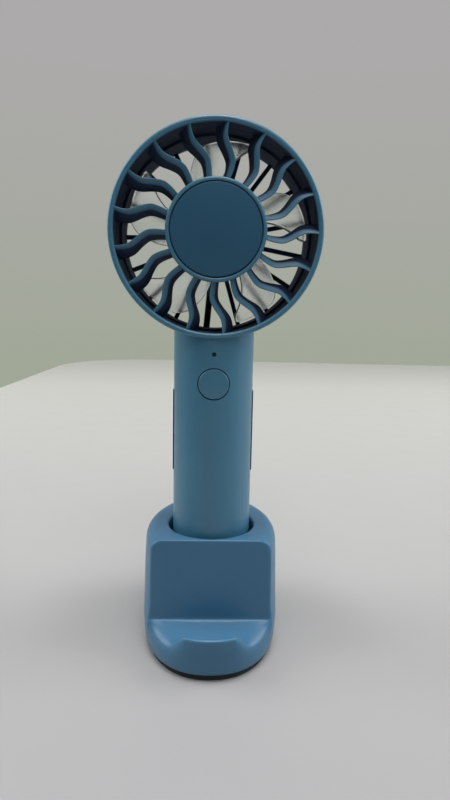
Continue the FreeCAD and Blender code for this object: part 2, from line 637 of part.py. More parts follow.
def make_rear_shell():
    """Rear half of the handle and of the drum, with charging slot, wire hole and screw bosses."""
    shell = new_body("rear_half", ("0", "0", "head_centre"))
    grip_half(shell, "rear_grip", 1)
    clear_of_duct = polygon(shell, "rear_clear", "XY_Plane", [
        ("0", "-head_back"), ("rear_bore", "-head_back"),
        ("rear_bore", "2 * head_back"), ("0", "2 * head_back")])
    revolved(shell, clear_of_duct, "PartDesign::Groove")
    wall = polygon(shell, "rear_wall", "XY_Plane", [
        ("rear_bore", "0"), ("head_radius", "0"), ("head_radius", "head_back - rim_round"),
        ("head_radius - rim_round", "head_back"), ("rear_ring_radius + fit_gap", "head_back"),
        ("rear_ring_radius + fit_gap", "rear_ring_front"),
        ("rear_bore", "rear_ring_front")])
    revolved(shell, wall)
    grille_room = polygon(shell, "grille_room", "XY_Plane", ring_corners(
        "rear_bore / 2", "rear_ring_radius + fit_gap", "rear_ring_front", "2 * head_back"))
    revolved(shell, grille_room, "PartDesign::Groove")

    skin = rod("rear_skin", "z", "grip_middle", "head_rise", ("0", "0", "seat"))
    posts = board_posts("charging_post", "charging_centre", CHARGING_POST,
                        "charging_board_face", "grip_radius")
    screw_bosses = [rod(f"case_boss_{level}", "y", "case_boss_radius", "grip_radius - cell_radius",
                        ("0", "cell_radius", height)) for level, height in case_screw_places()
                    if level == "low"]
    inner_fittings = common("rear_fittings", join("rear_fitting_set", *posts, *screw_bosses), skin)
    wire_hole = formed("wire_hole", spoke_lane("wire_pitch / 2 + 2 * wire_radius",
                                               "rear_bore - rear_ring_wall",
                                               "head_radius + grip_wall"))
    holes = [
        slot("usb_opening", "usb_width + 4 * fit_gap", "usb_thickness + 4 * fit_gap",
             "grip_radius", ("0", "grip_radius / 2", "usb_centre")),
        strip_recess("rear_strip_recess"),
        wire_hole,
    ]
    for level, height in case_screw_places():
        holes.append(rod(f"case_sink_{level}", "y", "case_screw_head_radius + fit_gap",
                         "grip_radius", ("0", "grip_radius - case_screw_sink - case_screw_head",
                                         height)))
        holes.append(rod(f"case_hole_{level}", "y", "case_screw_radius", "grip_radius",
                         ("0", "grip_radius - case_screw_sink - case_screw_head "
                               "- case_screw_length", height)))
    node("rear_shell", cut("rear_shell", join("rear_moulding", shell, inner_fittings), *holes))


def spoke_lane(half_width, start, end):
    """A round-sided passage beside the first rear spoke, from one radius to another."""
    direction = math.radians(amount_of("spoke_phase"))
    outward = Vector(math.cos(direction), 0, math.sin(direction))
    base = Vector(0, amount_of("wire_lane"), amount_of("head_centre")) + outward * amount_of(start)
    length = amount_of(f"{end} - ({start})")
    return Part.makeCylinder(amount_of(half_width), length, base, outward)


def make_case_hardware():
    """Bottom cap, grip strips and the case screws."""
    chamfer = "cap_flange / 2"
    node("bottom_cap", turned("bottom_cap", [
        ("0", "0"), (f"grip_radius - {chamfer}", "0"), ("grip_radius", chamfer),
        ("grip_radius", "cap_flange"), ("grip_bore - fit_gap", "cap_flange"),
        ("grip_bore - fit_gap", "cap_flange + cap_plug"), ("0", "cap_flange + cap_plug")],
        along="z", at=("0", "0", "seat")))
    for side, sign in (("left", "-"), ("right", "")):
        edge = f"strip_{side}"
        sleeve = cut(f"{edge}_sleeve",
                     rod(f"{edge}_outside", "z", "grip_radius + strip_proud", "head_rise",
                         ("0", "0", "seat")),
                     rod(f"{edge}_inside", "z", "grip_radius - strip_sink", "head_rise",
                         ("0", "0", "seat")))
        bar = block(f"{edge}_bar", "2 * grip_wall + strip_proud", "strip_width", "strip_length",
                    (f"{sign}grip_radius", "-strip_width / 2", "strip_centre"))
        node(f"grip_strip_{side}", common(f"grip_strip_{side}", sleeve, bar))
    screws = []
    for level, place in case_screw_places():
        head_start = "grip_radius - case_screw_sink - case_screw_head"
        head = rod(f"case_head_{level}", "y", "case_screw_head_radius", "case_screw_head",
                   ("0", head_start, place))
        length = "case_screw_length" if level == "low" else "grip_wall"
        shank = rod(f"case_shank_{level}", "y", "case_screw_radius", length,
                    ("0", f"{head_start} - {length}", place))
        screws.append(join(f"case_screw_{level}", head, shank))
    node("case_screws", collected("case_screws", screws))


# ----------------------------------------------------------------------------------------------
# Grilles
# ----------------------------------------------------------------------------------------------
# Centre line of a vane, from the rim to the hub: share of the way in, and sideways shift (mm)
VANE_WAVE = [(0.0, 0.35), (0.16, 0.55), (0.3, -0.05), (0.5, -2.55), (0.65, -3.85), (0.82, -3.55),
             (1.0, -2.45)]


def vane_section(width, depth, turn):
    """One wavy vane's outline in a plane across the fan axis, turned about that axis."""
    outer = amount_of("head_bore + spigot_wall / 2")
    inner = amount_of("hub_ring_radius - (hub_ring_radius - cap_radius) / 2")
    line = [Vector(outer + share * (inner - outer), 0, shift) for share, shift in VANE_WAVE]
    spin = Rotation(Vector(0, -1, 0), turn)
    sides = []
    for sign in (1, -1):
        points = []
        for index, point in enumerate(line):
            before = line[max(index - 1, 0)]
            after = line[min(index + 1, len(line) - 1)]
            along = (after - before).normalize()
            aside = Vector(-along.z, 0, along.x)
            points.append(spin.multVec(point + aside * (sign * width / 2)) + Vector(0, depth, 0))
        curve = Part.BSplineCurve()
        curve.interpolate(points if sign > 0 else points[::-1])
        sides.append(curve)
    edges = [
        sides[0].toShape(),
        Part.LineSegment(sides[0].EndPoint, sides[1].StartPoint).toShape(),
        sides[1].toShape(),
        Part.LineSegment(sides[1].EndPoint, sides[0].StartPoint).toShape(),
    ]
    return Part.Wire(edges)


def make_front_grille():
    """Front rim with its spigot, wavy slanted vanes and the hub ring with its web."""
    rim = turned("front_rim", [
        ("head_bore", "rim_round / 2 - head_front"), ("head_bore + rim_round / 2", "-head_front"),
        ("head_radius - rim_round", "-head_front"), ("head_radius", "rim_round - head_front"),
        ("head_radius", "drum_seat - fit_gap"), ("spigot_radius", "drum_seat - fit_gap"),
        ("spigot_radius", "spigot_end"), ("head_bore", "spigot_end")])
    recess = "cap_thickness - hub_front"
    hub = turned("front_hub", [
        ("0", recess), ("cap_radius + cap_gap", recess),
        ("cap_radius + cap_gap", "-hub_front"), ("hub_ring_radius", "-hub_front"),
        ("hub_ring_radius", "hub_depth - hub_front"),
        ("cap_radius", "hub_depth - hub_front"), ("cap_radius", f"{recess} + hub_web"),
        ("0", f"{recess} + hub_web")])
    front = amount_of("vane_setback - head_front")
    back = front + amount_of("vane_depth")
    first = amount_of("vane_phase")
    count = int(amount_of("vane_count"))
    head = Vector(0, 0, amount_of("head_centre"))
    vane = Part.makeLoft([vane_section(amount_of("vane_front_width"), front, first),
                          vane_section(amount_of("vane_back_width"), back,
                                       first + amount_of("vane_twist"))], True, True)
    vane.translate(head)
    vanes = []
    for index in range(count):
        copy = vane.copy()
        copy.rotate(head, Vector(0, -1, 0), index * 360 / count)
        vanes.append(formed(f"vane_{index}", copy))
    node("front_grille", join("front_grille", rim, hub, *vanes))
    node("grille_cap", turned("grille_cap", [
        ("0", "-hub_front"), ("cap_radius - cap_gap / 2", "-hub_front"),
        ("cap_radius", "cap_gap / 2 - hub_front"), ("cap_radius", recess), ("0", recess)]))


def make_rear_grille():
    """Rear ring, straight spokes and the hub disc that carries the bearing tube."""
    body = new_body("rear_grille_blank", ("0", "0", "head_centre"))
    ring = polygon(body, "rear_ring", "XY_Plane", ring_corners(
        "rear_bore", "rear_ring_radius", "rear_ring_front", "grille_back"))
    revolved(body, ring)
    hub = polygon(body, "rear_hub", "XY_Plane", [
        ("bearing_radius", "-bearing_front"), ("bearing_tube_radius", "-bearing_front"),
        ("bearing_tube_radius", "spoke_front"), ("rear_hub_radius", "spoke_front"),
        ("rear_hub_radius", "grille_back"), ("rear_hub_radius - rear_hub_thickness", "grille_back"),
        ("rear_hub_radius - rear_hub_thickness", "spoke_front + rear_hub_thickness"),
        ("0", "spoke_front + rear_hub_thickness"), ("0", "spoke_front"),
        ("bearing_radius", "spoke_front")])
    outline = polygon(body, "spoke_outline", "XY_Plane", [
        ("-spoke_width / 2", "spoke_front"), ("spoke_width / 2", "spoke_front"),
        ("spoke_width / 2", "grille_back"), ("-spoke_width / 2", "grille_back")],
        "rear_hub_radius - rear_hub_thickness / 2")
    spoke = body.newObject("PartDesign::Pad", "spoke_pad")
    spoke.Profile = outline
    bind(spoke, Length="rear_bore + rear_ring_wall / 2 - rear_hub_radius + rear_hub_thickness / 2")
    spoke.Refine = False
    revolved(body, hub)
    doc.recompute()
    pattern = body.newObject("PartDesign::PolarPattern", "spoke_pattern")
    pattern.Originals = [spoke]
    axis = next(item for item in body.Origin.OriginFeatures if item.Role == "Y_Axis")
    pattern.Axis = (axis, [""])
    pattern.Angle = 360
    bind(pattern, Occurrences="spoke_count")
    body.Tip = pattern
    body.Placement = Placement(Vector(), Rotation(Vector(0, -1, 0), amount_of("spoke_phase") - 90))
    wire_notch = formed("wire_notch", spoke_lane("wire_pitch / 2 + 2 * wire_radius",
                                                 "rear_bore - rear_ring_wall",
                                                 "head_radius + grip_wall"))
    node("rear_grille", cut("rear_grille", body, wire_notch))


# ----------------------------------------------------------------------------------------------
# Rotor and motor
# ----------------------------------------------------------------------------------------------
def blade_section(radius, span, centre):
    """A cambered blade's outline in the plane square to the radius, chord from front edge
    (trailing, clockwise side) to rear edge (leading)."""
    half = radius * math.tan(math.radians(span / 2))
    front, back = -amount_of("blade_front"), amount_of("blade_back")
    thickness, camber = amount_of("blade_thickness"), amount_of("blade_camber")
    chord = Vector(0, back - front, 2 * half)
    normal = Vector(0, -chord.z, chord.y).normalize()
    start, end = Vector(radius, front, -half), Vector(radius, back, half)
    middle = (start + end) / 2
    offset = normal * (thickness / 2)
    hollow = normal * camber
    spin = Rotation(Vector(0, -1, 0), centre)
    lift = Vector(0, 0, amount_of("head_centre"))
    places = [start - offset, middle + hollow - offset, end - offset,
              end + offset, middle + hollow + offset, start + offset]
    low0, low1, low2, high0, high1, high2 = [spin.multVec(place) + lift for place in places]
    return Part.Wire([
        Part.Arc(low0, low1, low2).toShape(), Part.LineSegment(low2, high0).toShape(),
        Part.Arc(high0, high1, high2).toShape(), Part.LineSegment(high2, low0).toShape()])


def make_impeller():
    """Hub cup with five broad swept blades."""
    hub = turned("rotor_hub", [
        ("0", "-rotor_hub_front"), ("rotor_hub_radius", "-rotor_hub_front"),
        ("rotor_hub_radius", "blade_back"), ("rotor_hub_radius - rotor_hub_wall", "blade_back"),
        ("rotor_hub_radius - rotor_hub_wall", "rotor_hub_wall - rotor_hub_front"),
        ("0", "rotor_hub_wall - rotor_hub_front")])
    root = amount_of("rotor_hub_radius - rotor_hub_wall / 2")
    tip = amount_of("blade_tip_radius")
    stations = 5
    sections = []
    for index in range(stations):
        share = index / (stations - 1)
        span = amount_of("blade_root_span") * (1 - share) + amount_of("blade_tip_span") * share
        centre = amount_of("blade_phase") + amount_of("blade_sweep") * (1 - share ** 1.5)
        sections.append(blade_section(root + share * (tip - root), span, centre))
    blade = Part.makeLoft(sections, True, False)
    head = Vector(0, 0, amount_of("head_centre"))
    reach = amount_of("blade_front + blade_back")
    swept = Part.makeCylinder(tip, 2 * reach, head - Vector(0, reach, 0), Vector(0, 1, 0))
    blade = blade.common(swept)
    count = int(amount_of("blade_count"))
    blades = []
    for index in range(count):
        copy = blade.copy()
        copy.rotate(head, Vector(0, -1, 0), index * 360 / count)
        blades.append(formed(f"blade_{index}", copy))
    inside = rod("hub_inside", "y", "rotor_hub_radius - rotor_hub_wall",
                 "rotor_hub_front - rotor_hub_wall + blade_back + blade_thickness",
                 ("0", "rotor_hub_wall - rotor_hub_front", "head_centre"))
    node("impeller", cut("impeller", join("impeller_blank", hub, *blades), inside))


def make_rotor():
    """Steel cup, magnets and shaft, all turning with the impeller."""
    node("rotor_yoke", turned("rotor_yoke", [
        ("shaft_radius", "yoke_front"), ("yoke_radius", "yoke_front"), ("yoke_radius", "yoke_back"),
        ("magnet_radius", "yoke_back"), ("magnet_radius", "yoke_front + yoke_wall"),
        ("3 * shaft_radius", "yoke_front + yoke_wall"),
        ("3 * shaft_radius", "yoke_front + 3 * yoke_wall"),
        ("shaft_radius", "yoke_front + 3 * yoke_wall")]))
    node("magnet_ring", turned("magnet_ring", ring_corners(
        "magnet_radius - magnet_wall", "magnet_radius", "-magnet_front", "magnet_back")))
    node("motor_shaft", rod("motor_shaft", "y", "shaft_radius", "shaft_back - yoke_front",
                            ("0", "yoke_front", "head_centre")))


def around_axis(prefix, make_one, count):
    """Copies of a piece spaced evenly about the fan axis."""
    first = make_one(prefix)
    pieces = [first]
    for index in range(1, count):
        piece = doc.addObject("Part::Feature", f"{prefix}_{index}")
        doc.recompute([first])
        piece.Shape = first.Shape
        turn = Placement(Vector(), Rotation(Vector(0, -1, 0), index * 360 / count),
                         Vector(0, 0, amount_of("head_centre")))
        piece.Placement = turn.multiply(piece.Placement)
        pieces.append(piece)
    return pieces


def make_motor():
    """Stator, windings, bearings and the motor's own board, on the rear grille's tube."""
    depth = "stator_front + stator_back"
    tooth_start = "bearing_tube_radius + stator_yoke / 2"
    count = int(amount_of("stator_teeth"))

    def tooth(name):
        return put(bind(doc.addObject("Part::Box", name), Length="tooth_width", Width=depth,
                        Height=f"stator_radius - shoe_thickness / 2 - ({tooth_start})"),
                   ("-tooth_width / 2", "-stator_front", f"head_centre + {tooth_start}"))

    def coil(name):
        outside = block(f"{name}_outside", "tooth_width + 2 * coil_width",
                        f"{depth} + 2 * coil_proud",
                        "stator_radius - 1.4 * shoe_thickness - bearing_tube_radius - 1.5 * stator_yoke",
                        ("0", "-stator_front - coil_proud",
                         "head_centre + (stator_radius - 1.4 * shoe_thickness + bearing_tube_radius "
                         "+ 1.5 * stator_yoke) / 2"))
        inside = block(f"{name}_inside", "tooth_width", depth, "stator_radius",
                       ("0", "-stator_front", "head_centre + stator_radius / 2"))
        return cut(name, outside, inside)

    shoes_blank = turned("shoe_ring", ring_corners(
        "stator_radius - shoe_thickness", "stator_radius", "-stator_front", "stator_back"))
    core = turned("stator_core", ring_corners(
        "bearing_tube_radius", "bearing_tube_radius + stator_yoke",
        "-stator_front", "stator_back"))
    teeth = around_axis("tooth", tooth, count)

    def shoe_slot(name):
        item = block(f"{name}_block", "tooth_width / 2", f"{depth} + 2 * coil_proud",
                     "4 * shoe_thickness",
                     ("0", "-stator_front - coil_proud", "head_centre + stator_radius"))
        doc.recompute([item])
        piece = formed(name, item.Shape)
        piece.Placement = Placement(Vector(), Rotation(Vector(0, -1, 0), 180 / count),
                                    Vector(0, 0, amount_of("head_centre"))).multiply(item.Placement)
        return piece

    slots = around_axis("shoe_slot", shoe_slot, count)
    iron = join("stator_iron", core, shoes_blank, *teeth)
    node("motor_stator", cut("motor_stator", iron, *slots))
    node("motor_windings", collected("motor_windings", around_axis("coil", coil, count)))
    bore = "shaft_radius + shaft_clearance"
    node("front_bearing", turned("front_bearing", ring_corners(
        bore, "bearing_radius", "-bearing_front", "bearing_length - bearing_front")))
    node("rear_bearing", turned("rear_bearing", ring_corners(
        bore, "bearing_radius", "rear_bearing_back - bearing_length", "rear_bearing_back")))
    node("motor_board", turned("motor_board", ring_corners(
        "bearing_tube_radius", "motor_board_radius",
        "motor_board_back - motor_board_thickness", "motor_board_back")))


# ----------------------------------------------------------------------------------------------
# Handle contents
# ----------------------------------------------------------------------------------------------
def make_battery():
    """Cylindrical cell with its contact cap, in a cradle that fits the handle."""
    base = "seat + cell_base"
    can = rod("cell_can", "z", "cell_radius", "cell_length - cradle_wall", ("0", "0", base))
    contact = rod("cell_contact", "z", "cell_radius / 3", "cell_length", ("0", "0", base))
    node("battery_cell", join("battery_cell", can, contact))
    disc_radius = "grip_bore - fit_gap"
    low = rod("cradle_low", "z", disc_radius, "cradle_end",
              ("0", "0", f"{base} - cradle_end"))
    high = rod("cradle_high", "z", disc_radius, "cradle_end",
               ("0", "0", f"{base} + cell_length"))
    sleeve = rod("cradle_sleeve", "z", "cell_radius + fit_gap + cradle_wall", "cell_length",
                 ("0", "0", base))
    room = rod("cradle_room", "z", "cell_radius + fit_gap", "cell_length", ("0", "0", base))
    window = block("cradle_window", "2 * cell_radius", "2 * cell_radius",
                   "cell_length - 4 * cradle_end",
                   ("0", "-2 * cell_radius", f"{base} + cell_length / 2"))
    boss_room = rod("boss_room", "y", "case_boss_radius + fit_gap", "grip_radius",
                    ("0", "0", "screw_low"))
    wire_window = block("wire_window", "4 * wire_pitch", "cell_radius", "3 * cradle_end",
                        ("0", "cell_radius - 4 * wire_radius", f"{base} + cell_length"))
    cradle = join("cradle_blank", low, high, sleeve)
    node("battery_cradle", cut("battery_cradle", cradle, room, window, boss_room, wire_window))


def make_boards():
    """Control board with switch and light, charging board with its socket."""
    node("control_board", block("control_board", "control_board_width", "board_thickness",
                                "control_board_length", ("0", "-control_board_face", "control_centre")))
    switch_front = "-control_board_face - switch_depth"
    switch = block("switch_case", "switch_side", "switch_depth", "switch_side",
                   ("0", switch_front, "button_centre"))
    plunger_room = rod("plunger_room", "y", "plunger_radius + fit_gap",
                       "switch_depth - board_thickness / 2", ("0", switch_front, "button_centre"))
    node("tact_switch", cut("tact_switch", switch, plunger_room))
    node("led_chip", block("led_chip", "led_chip_side", "led_chip_depth", "led_chip_side",
                           ("0", "-control_board_face - led_chip_depth", "led_centre")))
    node("led_lens", rod("led_lens", "y", "led_radius",
                         "grip_radius - control_board_face - led_chip_depth",
                         ("0", "-grip_radius", "led_centre")))
    board_back = "charging_board_face"
    node("charging_board", block("charging_board", "charging_board_width", "board_thickness",
                                 "charging_board_length",
                                 ("0", f"{board_back} - board_thickness", "charging_centre")))
    depth = "grip_radius - usb_sink - charging_board_face"
    shell = slot("usb_shell", "usb_width", "usb_thickness", depth, ("0", board_back, "usb_centre"))
    inside = slot("usb_inside", "usb_width - 2 * usb_wall", "usb_thickness - 2 * usb_wall",
                  depth, ("0", f"{board_back} + 2 * usb_wall", "usb_centre"))
    tongue = block("usb_tongue", "usb_width * 0.7", f"{depth} - usb_thickness / 2",
                   "2 * usb_wall", ("0", board_back, "usb_centre"))
    node("usb_socket", join("usb_socket", cut("usb_can", shell, inside), tongue))


def make_button():
    """Power button with its flange, and the switch plunger that it pushes."""
    front = "(button_sink - grip_radius)"
    edge = "button_gap / 2"
    node("power_button", turned("power_button", [
        ("0", front), (f"button_radius - {edge}", front), ("button_radius", f"{front} + {edge}"),
        ("button_radius", "-button_back"), ("button_flange_radius", "-button_back"),
        ("button_flange_radius", "button_flange - button_back"),
        ("0", "button_flange - button_back")], at=("0", "0", "button_centre")))
    plunger_start = "button_flange - button_back"
    plunger_end = "-control_board_face - board_thickness / 2 - button_travel - fit_gap"
    node("switch_plunger", rod("switch_plunger", "y", "plunger_radius",
                               f"{plunger_end} - ({plunger_start})",
                               ("0", plunger_start, "button_centre")))


def wire_pair(name, route, across):
    """Two wires side by side along one route of (x, y, z) places."""
    radius, bend = amount_of("wire_radius"), amount_of("wire_bend")
    aside = across * (amount_of("wire_pitch") / 2)
    shapes = [wire_path([Vector(*place) + aside * sign for place in route], radius, bend)
              for sign in (1, -1)]
    return node(name, formed(name, Part.makeCompound(shapes)))


def make_wires():
    """Leads from cell to charging board, between the boards, and up to the motor."""
    sideways = Vector(1, 0, 0)
    radius = amount_of("wire_radius")
    cell_top = amount_of("seat + cell_base + cell_length")
    board_low = amount_of("charging_base")
    lane = amount_of("cell_radius") + radius
    board_front = amount_of("charging_board_face - board_thickness")
    wire_pair("battery_wires", [
        (0, lane - 2.5 * radius, cell_top - amount_of("cradle_wall")),
        (0, lane - 2.5 * radius, cell_top + amount_of("cradle_end + wire_bend")),
        (0, board_front - radius, (cell_top + board_low) / 2 + radius),
        (0, board_front - radius, board_low + amount_of("charging_board_length / 4")),
    ], sideways)
    control_back = amount_of("board_thickness - control_board_face")
    middle = amount_of("control_base + control_board_length / 3")
    wire_pair("board_wires", [
        (0, control_back, middle),
        (0, board_front, middle),
    ], sideways)
    direction = math.radians(amount_of("spoke_phase"))
    outward = Vector(math.cos(direction), 0, math.sin(direction))
    head = Vector(0, 0, amount_of("head_centre"))
    lane_y = Vector(0, amount_of("wire_lane"), 0)
    board_y = Vector(0, amount_of("motor_board_back"), 0)
    start_radius = amount_of("motor_board_radius - 2 * wire_radius")
    below_drum = amount_of("head_radius + grip_wall + wire_bend")
    control_top = Vector(0, control_back + radius,
                         amount_of("control_base + control_board_length - 4 * wire_radius"))
    turn_in = Vector(outward.x * below_drum, control_back + radius,
                     amount_of("head_centre") - below_drum - amount_of("3 * wire_bend"))
    route = [head + outward * start_radius + board_y, head + outward * start_radius + lane_y,
             head + outward * below_drum + lane_y, turn_in, control_top]
    wire_pair("motor_wires", [tuple(place) for place in route],
              Vector(-outward.z, 0, outward.x))


# ----------------------------------------------------------------------------------------------
# Build, check and export
# ----------------------------------------------------------------------------------------------
def check_and_export():
    """Stop on any failed object or sub-part, then write each sub-part's STEP file."""
    doc.recompute()
    for item in doc.Objects:
        if "Invalid" in item.State or "Error" in item.State:
            raise RuntimeError(f"{item.Name} failed: {item.State}")
    os.makedirs("parts", exist_ok=True)
    for item in nodes:
        if item.Shape.isNull() or not item.Shape.isValid():
            raise RuntimeError(f"{item.Label} has no valid shape")
        item.Shape.exportStep(os.path.join("parts", f"{item.Label}.step"))
        print(f"{item.Label}: {len(item.Shape.Solids)} solids, {item.Shape.Volume:.1f} mm3")


make_dock_body()
make_dock_base()
make_front_shell()
make_rear_shell()
make_case_hardware()
make_front_grille()
make_rear_grille()
make_impeller()
make_rotor()
make_motor()
make_battery()
make_boards()
make_button()
make_wires()
check_and_export()
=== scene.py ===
"""Dress of a handheld fan that stands in a desk dock with a phone rest.

The frame is the part's own: +Z is up, the dock stands on z = 0, the handle's axis is the Z axis,
and the fan blows towards -Y. Sizes are in millimetres and become metres where a mesh is placed.
Angles about the fan axis are in degrees, counterclockwise as seen from the front, from +X.
"""
from __future__ import annotations

import logging
import math
from contextlib import contextmanager
from dataclasses import dataclass
from enum import Enum
from typing import Callable, Iterator, Sequence

import bpy
from mathutils import Matrix, Vector

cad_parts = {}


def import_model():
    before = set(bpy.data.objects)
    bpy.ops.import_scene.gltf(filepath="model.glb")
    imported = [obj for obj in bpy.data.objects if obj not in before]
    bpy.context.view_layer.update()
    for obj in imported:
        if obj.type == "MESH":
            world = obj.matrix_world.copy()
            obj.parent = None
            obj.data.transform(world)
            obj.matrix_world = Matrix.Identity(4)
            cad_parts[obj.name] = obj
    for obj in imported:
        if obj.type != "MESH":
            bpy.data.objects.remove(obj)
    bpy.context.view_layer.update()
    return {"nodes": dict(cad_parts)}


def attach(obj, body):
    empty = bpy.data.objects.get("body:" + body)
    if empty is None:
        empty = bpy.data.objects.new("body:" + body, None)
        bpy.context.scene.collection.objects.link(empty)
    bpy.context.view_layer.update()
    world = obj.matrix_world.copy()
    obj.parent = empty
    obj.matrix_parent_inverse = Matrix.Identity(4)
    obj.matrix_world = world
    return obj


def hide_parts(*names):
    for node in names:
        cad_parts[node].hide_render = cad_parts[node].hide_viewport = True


LOG = logging.getLogger("desk_fan")
MM = 0.001
FULL_TURN = 360.0
# segments in a full turn
DRUM_STEPS = 192
DOCK_STEPS = 160
MOULDING_STEPS = 128
HUB_STEPS = 96
SCREW_STEPS = 48
# radii of a mould's edges, in millimetres
TOUCHED = 0.1
BROKEN = 0.2
EASED = 0.3
SOFT = 0.4
# edges sharper than this many degrees stay crisp on pieces with ribs or blades
CREASE = 50.0
# lengths in metres that count as nothing: between vertices, off an axis, and in a fraction
MERGED = 1e-6
ON_AXIS = 1e-7
NOTHING = 1e-9
Pair = tuple[float, float]
Corner = tuple[float, float, float]


# ----------------------------------------------------------------------------------------------
# Modelling
# ----------------------------------------------------------------------------------------------
class Axis(Enum):
    """The lines that round pieces are turned about: a point, and the way the line runs."""

    HANDLE = ((0.0, 0.0, 0.0), (0.0, 0.0, 1.0))
    FAN = ((0.0, 0.0, 183.0), (0.0, 1.0, 0.0))
    BUTTON = ((0.0, 0.0, 119.8), (0.0, 1.0, 0.0))

    @property
    def point(self) -> Vector:
        """A point on the axis, in metres."""
        return Vector(self.value[0]) * MM

    @property
    def way(self) -> Vector:
        """The direction that distances along the axis are counted in."""
        return Vector(self.value[1])

    def place(self, radius: float, along: float, angle: float = 0.0, aside: float = 0.0) -> Vector:
        """A point given from the axis.

        Args:
            radius: distance from the axis, in millimetres.
            along: distance along the axis, in millimetres.
            angle: turn about the axis, in degrees, from +X.
            aside: distance square to the radius, in millimetres.

        Returns:
            The point in metres.
        """
        turn = math.radians(angle)
        up = Vector((0, 1, 0)) if self is Axis.HANDLE else Vector((0, 0, 1))
        outward = Vector((math.cos(turn), 0, 0)) + up * math.sin(turn)
        sideways = Vector((-math.sin(turn), 0, 0)) + up * math.cos(turn)
        return self.point + (outward * radius + sideways * aside + self.way * along) * MM


def eased(corners: Sequence[Corner], steps: int = 5) -> list[Pair]:
    """A closed outline with rounded corners.

    Args:
        corners: across, along and the corner's radius, in millimetres.
        steps: segments in each rounded corner.

    Returns:
        The outline's points.
    """
    outline: list[Pair] = []
    count = len(corners)
    for index, (across, along, radius) in enumerate(corners):
        here = Vector((across, along))
        before = Vector(corners[index - 1][:2]) - here
        after = Vector(corners[(index + 1) % count][:2]) - here
        if radius <= 0:
            outline.append((across, along))
            continue
        before.normalize()
        after.normalize()
        half = before.angle(after) / 2
        reach = radius / math.tan(half)
        centre = here + (before + after).normalized() * (radius / math.sin(half))
        first = (here + before * reach - centre).normalized()
        last = (here + after * reach - centre).normalized()
        for step in range(steps + 1):
            point = centre + first.slerp(last, step / steps) * radius
            outline.append((point.x, point.y))
    return outline


class Workpiece:
    """A mesh in the making: a primitive, shaped in edit mode and finished with modifiers."""

    def __init__(self, name: str, add: Callable[..., set], **settings: object) -> None:
        """Add the primitive.

        Args:
            name: the piece's name.
            add: the operator that adds the primitive.
            **settings: the operator's own settings, in metres.
        """
        bpy.ops.object.select_all(action="DESELECT")
        add(**settings)
        self.body = bpy.context.active_object
        self.body.name = name
        self.body.data.name = name
        bpy.ops.object.transform_apply(location=True, rotation=True, scale=True)

    def hold(self) -> None:
        """Make this piece the only one selected."""
        bpy.ops.object.select_all(action="DESELECT")
        self.body.select_set(True)
        bpy.context.view_layer.objects.active = self.body

    @contextmanager
    def editing(self, kind: str = "FACE") -> Iterator[None]:
        """Stay in edit mode, with vertices, edges or faces as what is selected."""
        self.hold()
        bpy.ops.object.mode_set(mode="EDIT")
        bpy.ops.mesh.select_mode(type=kind)
        try:
            yield
        finally:
            bpy.ops.object.mode_set(mode="OBJECT")

    def pick(self, test: Callable[[Vector], bool]) -> None:
        """Select the edges and faces whose every vertex passes a test of its place in mm."""
        mesh = self.body.data
        chosen = [test(point.co / MM) for point in mesh.vertices]
        for index, point in enumerate(mesh.vertices):
            point.select = chosen[index]
        for edge in mesh.edges:
            edge.select = all(chosen[index] for index in edge.vertices)
        for face in mesh.polygons:
            face.select = all(chosen[index] for index in face.vertices)

    def shape(self, move: Callable[[Vector], Vector]) -> Workpiece:
        """Move each vertex to the place that a function gives, both in millimetres."""
        for point in self.body.data.vertices:
            point.co = move(point.co / MM) * MM
        self.body.data.update()
        return self

    def close(self) -> Workpiece:
        """Merge what coincides and turn every face outwards."""
        with self.editing("VERT"):
            bpy.ops.mesh.select_all(action="SELECT")
            bpy.ops.mesh.remove_doubles(threshold=MERGED)
            bpy.ops.mesh.normals_make_consistent(inside=False)
        return self

    def modify(self, kind: str, **settings: object) -> Workpiece:
        """Add a modifier, set it and apply it."""
        self.hold()
        bpy.ops.object.modifier_add(type=kind)
        modifier = self.body.modifiers[-1]
        for name, value in settings.items():
            setattr(modifier, name, value)
        bpy.ops.object.modifier_apply(modifier=modifier.name)
        return self

    def carve(self, *cutters: Workpiece) -> Workpiece:
        """Cut other pieces out of this one, and drop them."""
        for cutter in cutters:
            self.modify("BOOLEAN", object=cutter.body, operation="DIFFERENCE", solver="EXACT")
            bpy.data.objects.remove(cutter.body)
        return self

    def copy(self, name: str) -> Workpiece:
        """A copy with its own mesh."""
        twin = Workpiece.__new__(Workpiece)
        twin.body = self.body.copy()
        twin.body.data = self.body.data.copy()
        twin.body.name = name
        twin.body.data.name = name
        bpy.context.scene.collection.objects.link(twin.body)
        return twin

    def swing(self, axis: Axis, angle: float) -> Workpiece:
        """Turn the mesh about an axis by an angle in degrees."""
        to_axis = Matrix.Translation(axis.point)
        sense = 1 if axis is Axis.HANDLE else -1
        turn = Matrix.Rotation(sense * math.radians(angle), 4, axis.way)
        self.body.data.transform(to_axis @ turn @ to_axis.inverted())
        return self

    def gather(self, others: Sequence[Workpiece]) -> Workpiece:
        """Join other pieces to this one."""
        self.hold()
        for other in others:
            other.body.select_set(True)
        bpy.ops.object.join()
        return self

    def smooth(self, degrees: float = 35.0) -> Workpiece:
        """Shade smooth, with edges sharper than an angle kept crisp."""
        self.hold()
        bpy.ops.object.shade_smooth_by_angle(angle=math.radians(degrees))
        return self


def outline_blank(name: str, places: Sequence[Vector], filled: bool) -> Workpiece:
    """A circle primitive whose vertices are moved to an outline's corners, in metres."""
    blank = Workpiece(name, bpy.ops.mesh.primitive_circle_add, vertices=len(places),
                      radius=MM, fill_type="NGON" if filled else "NOTHING")
    for point, place in zip(blank.body.data.vertices, places):
        point.co = place
    return blank


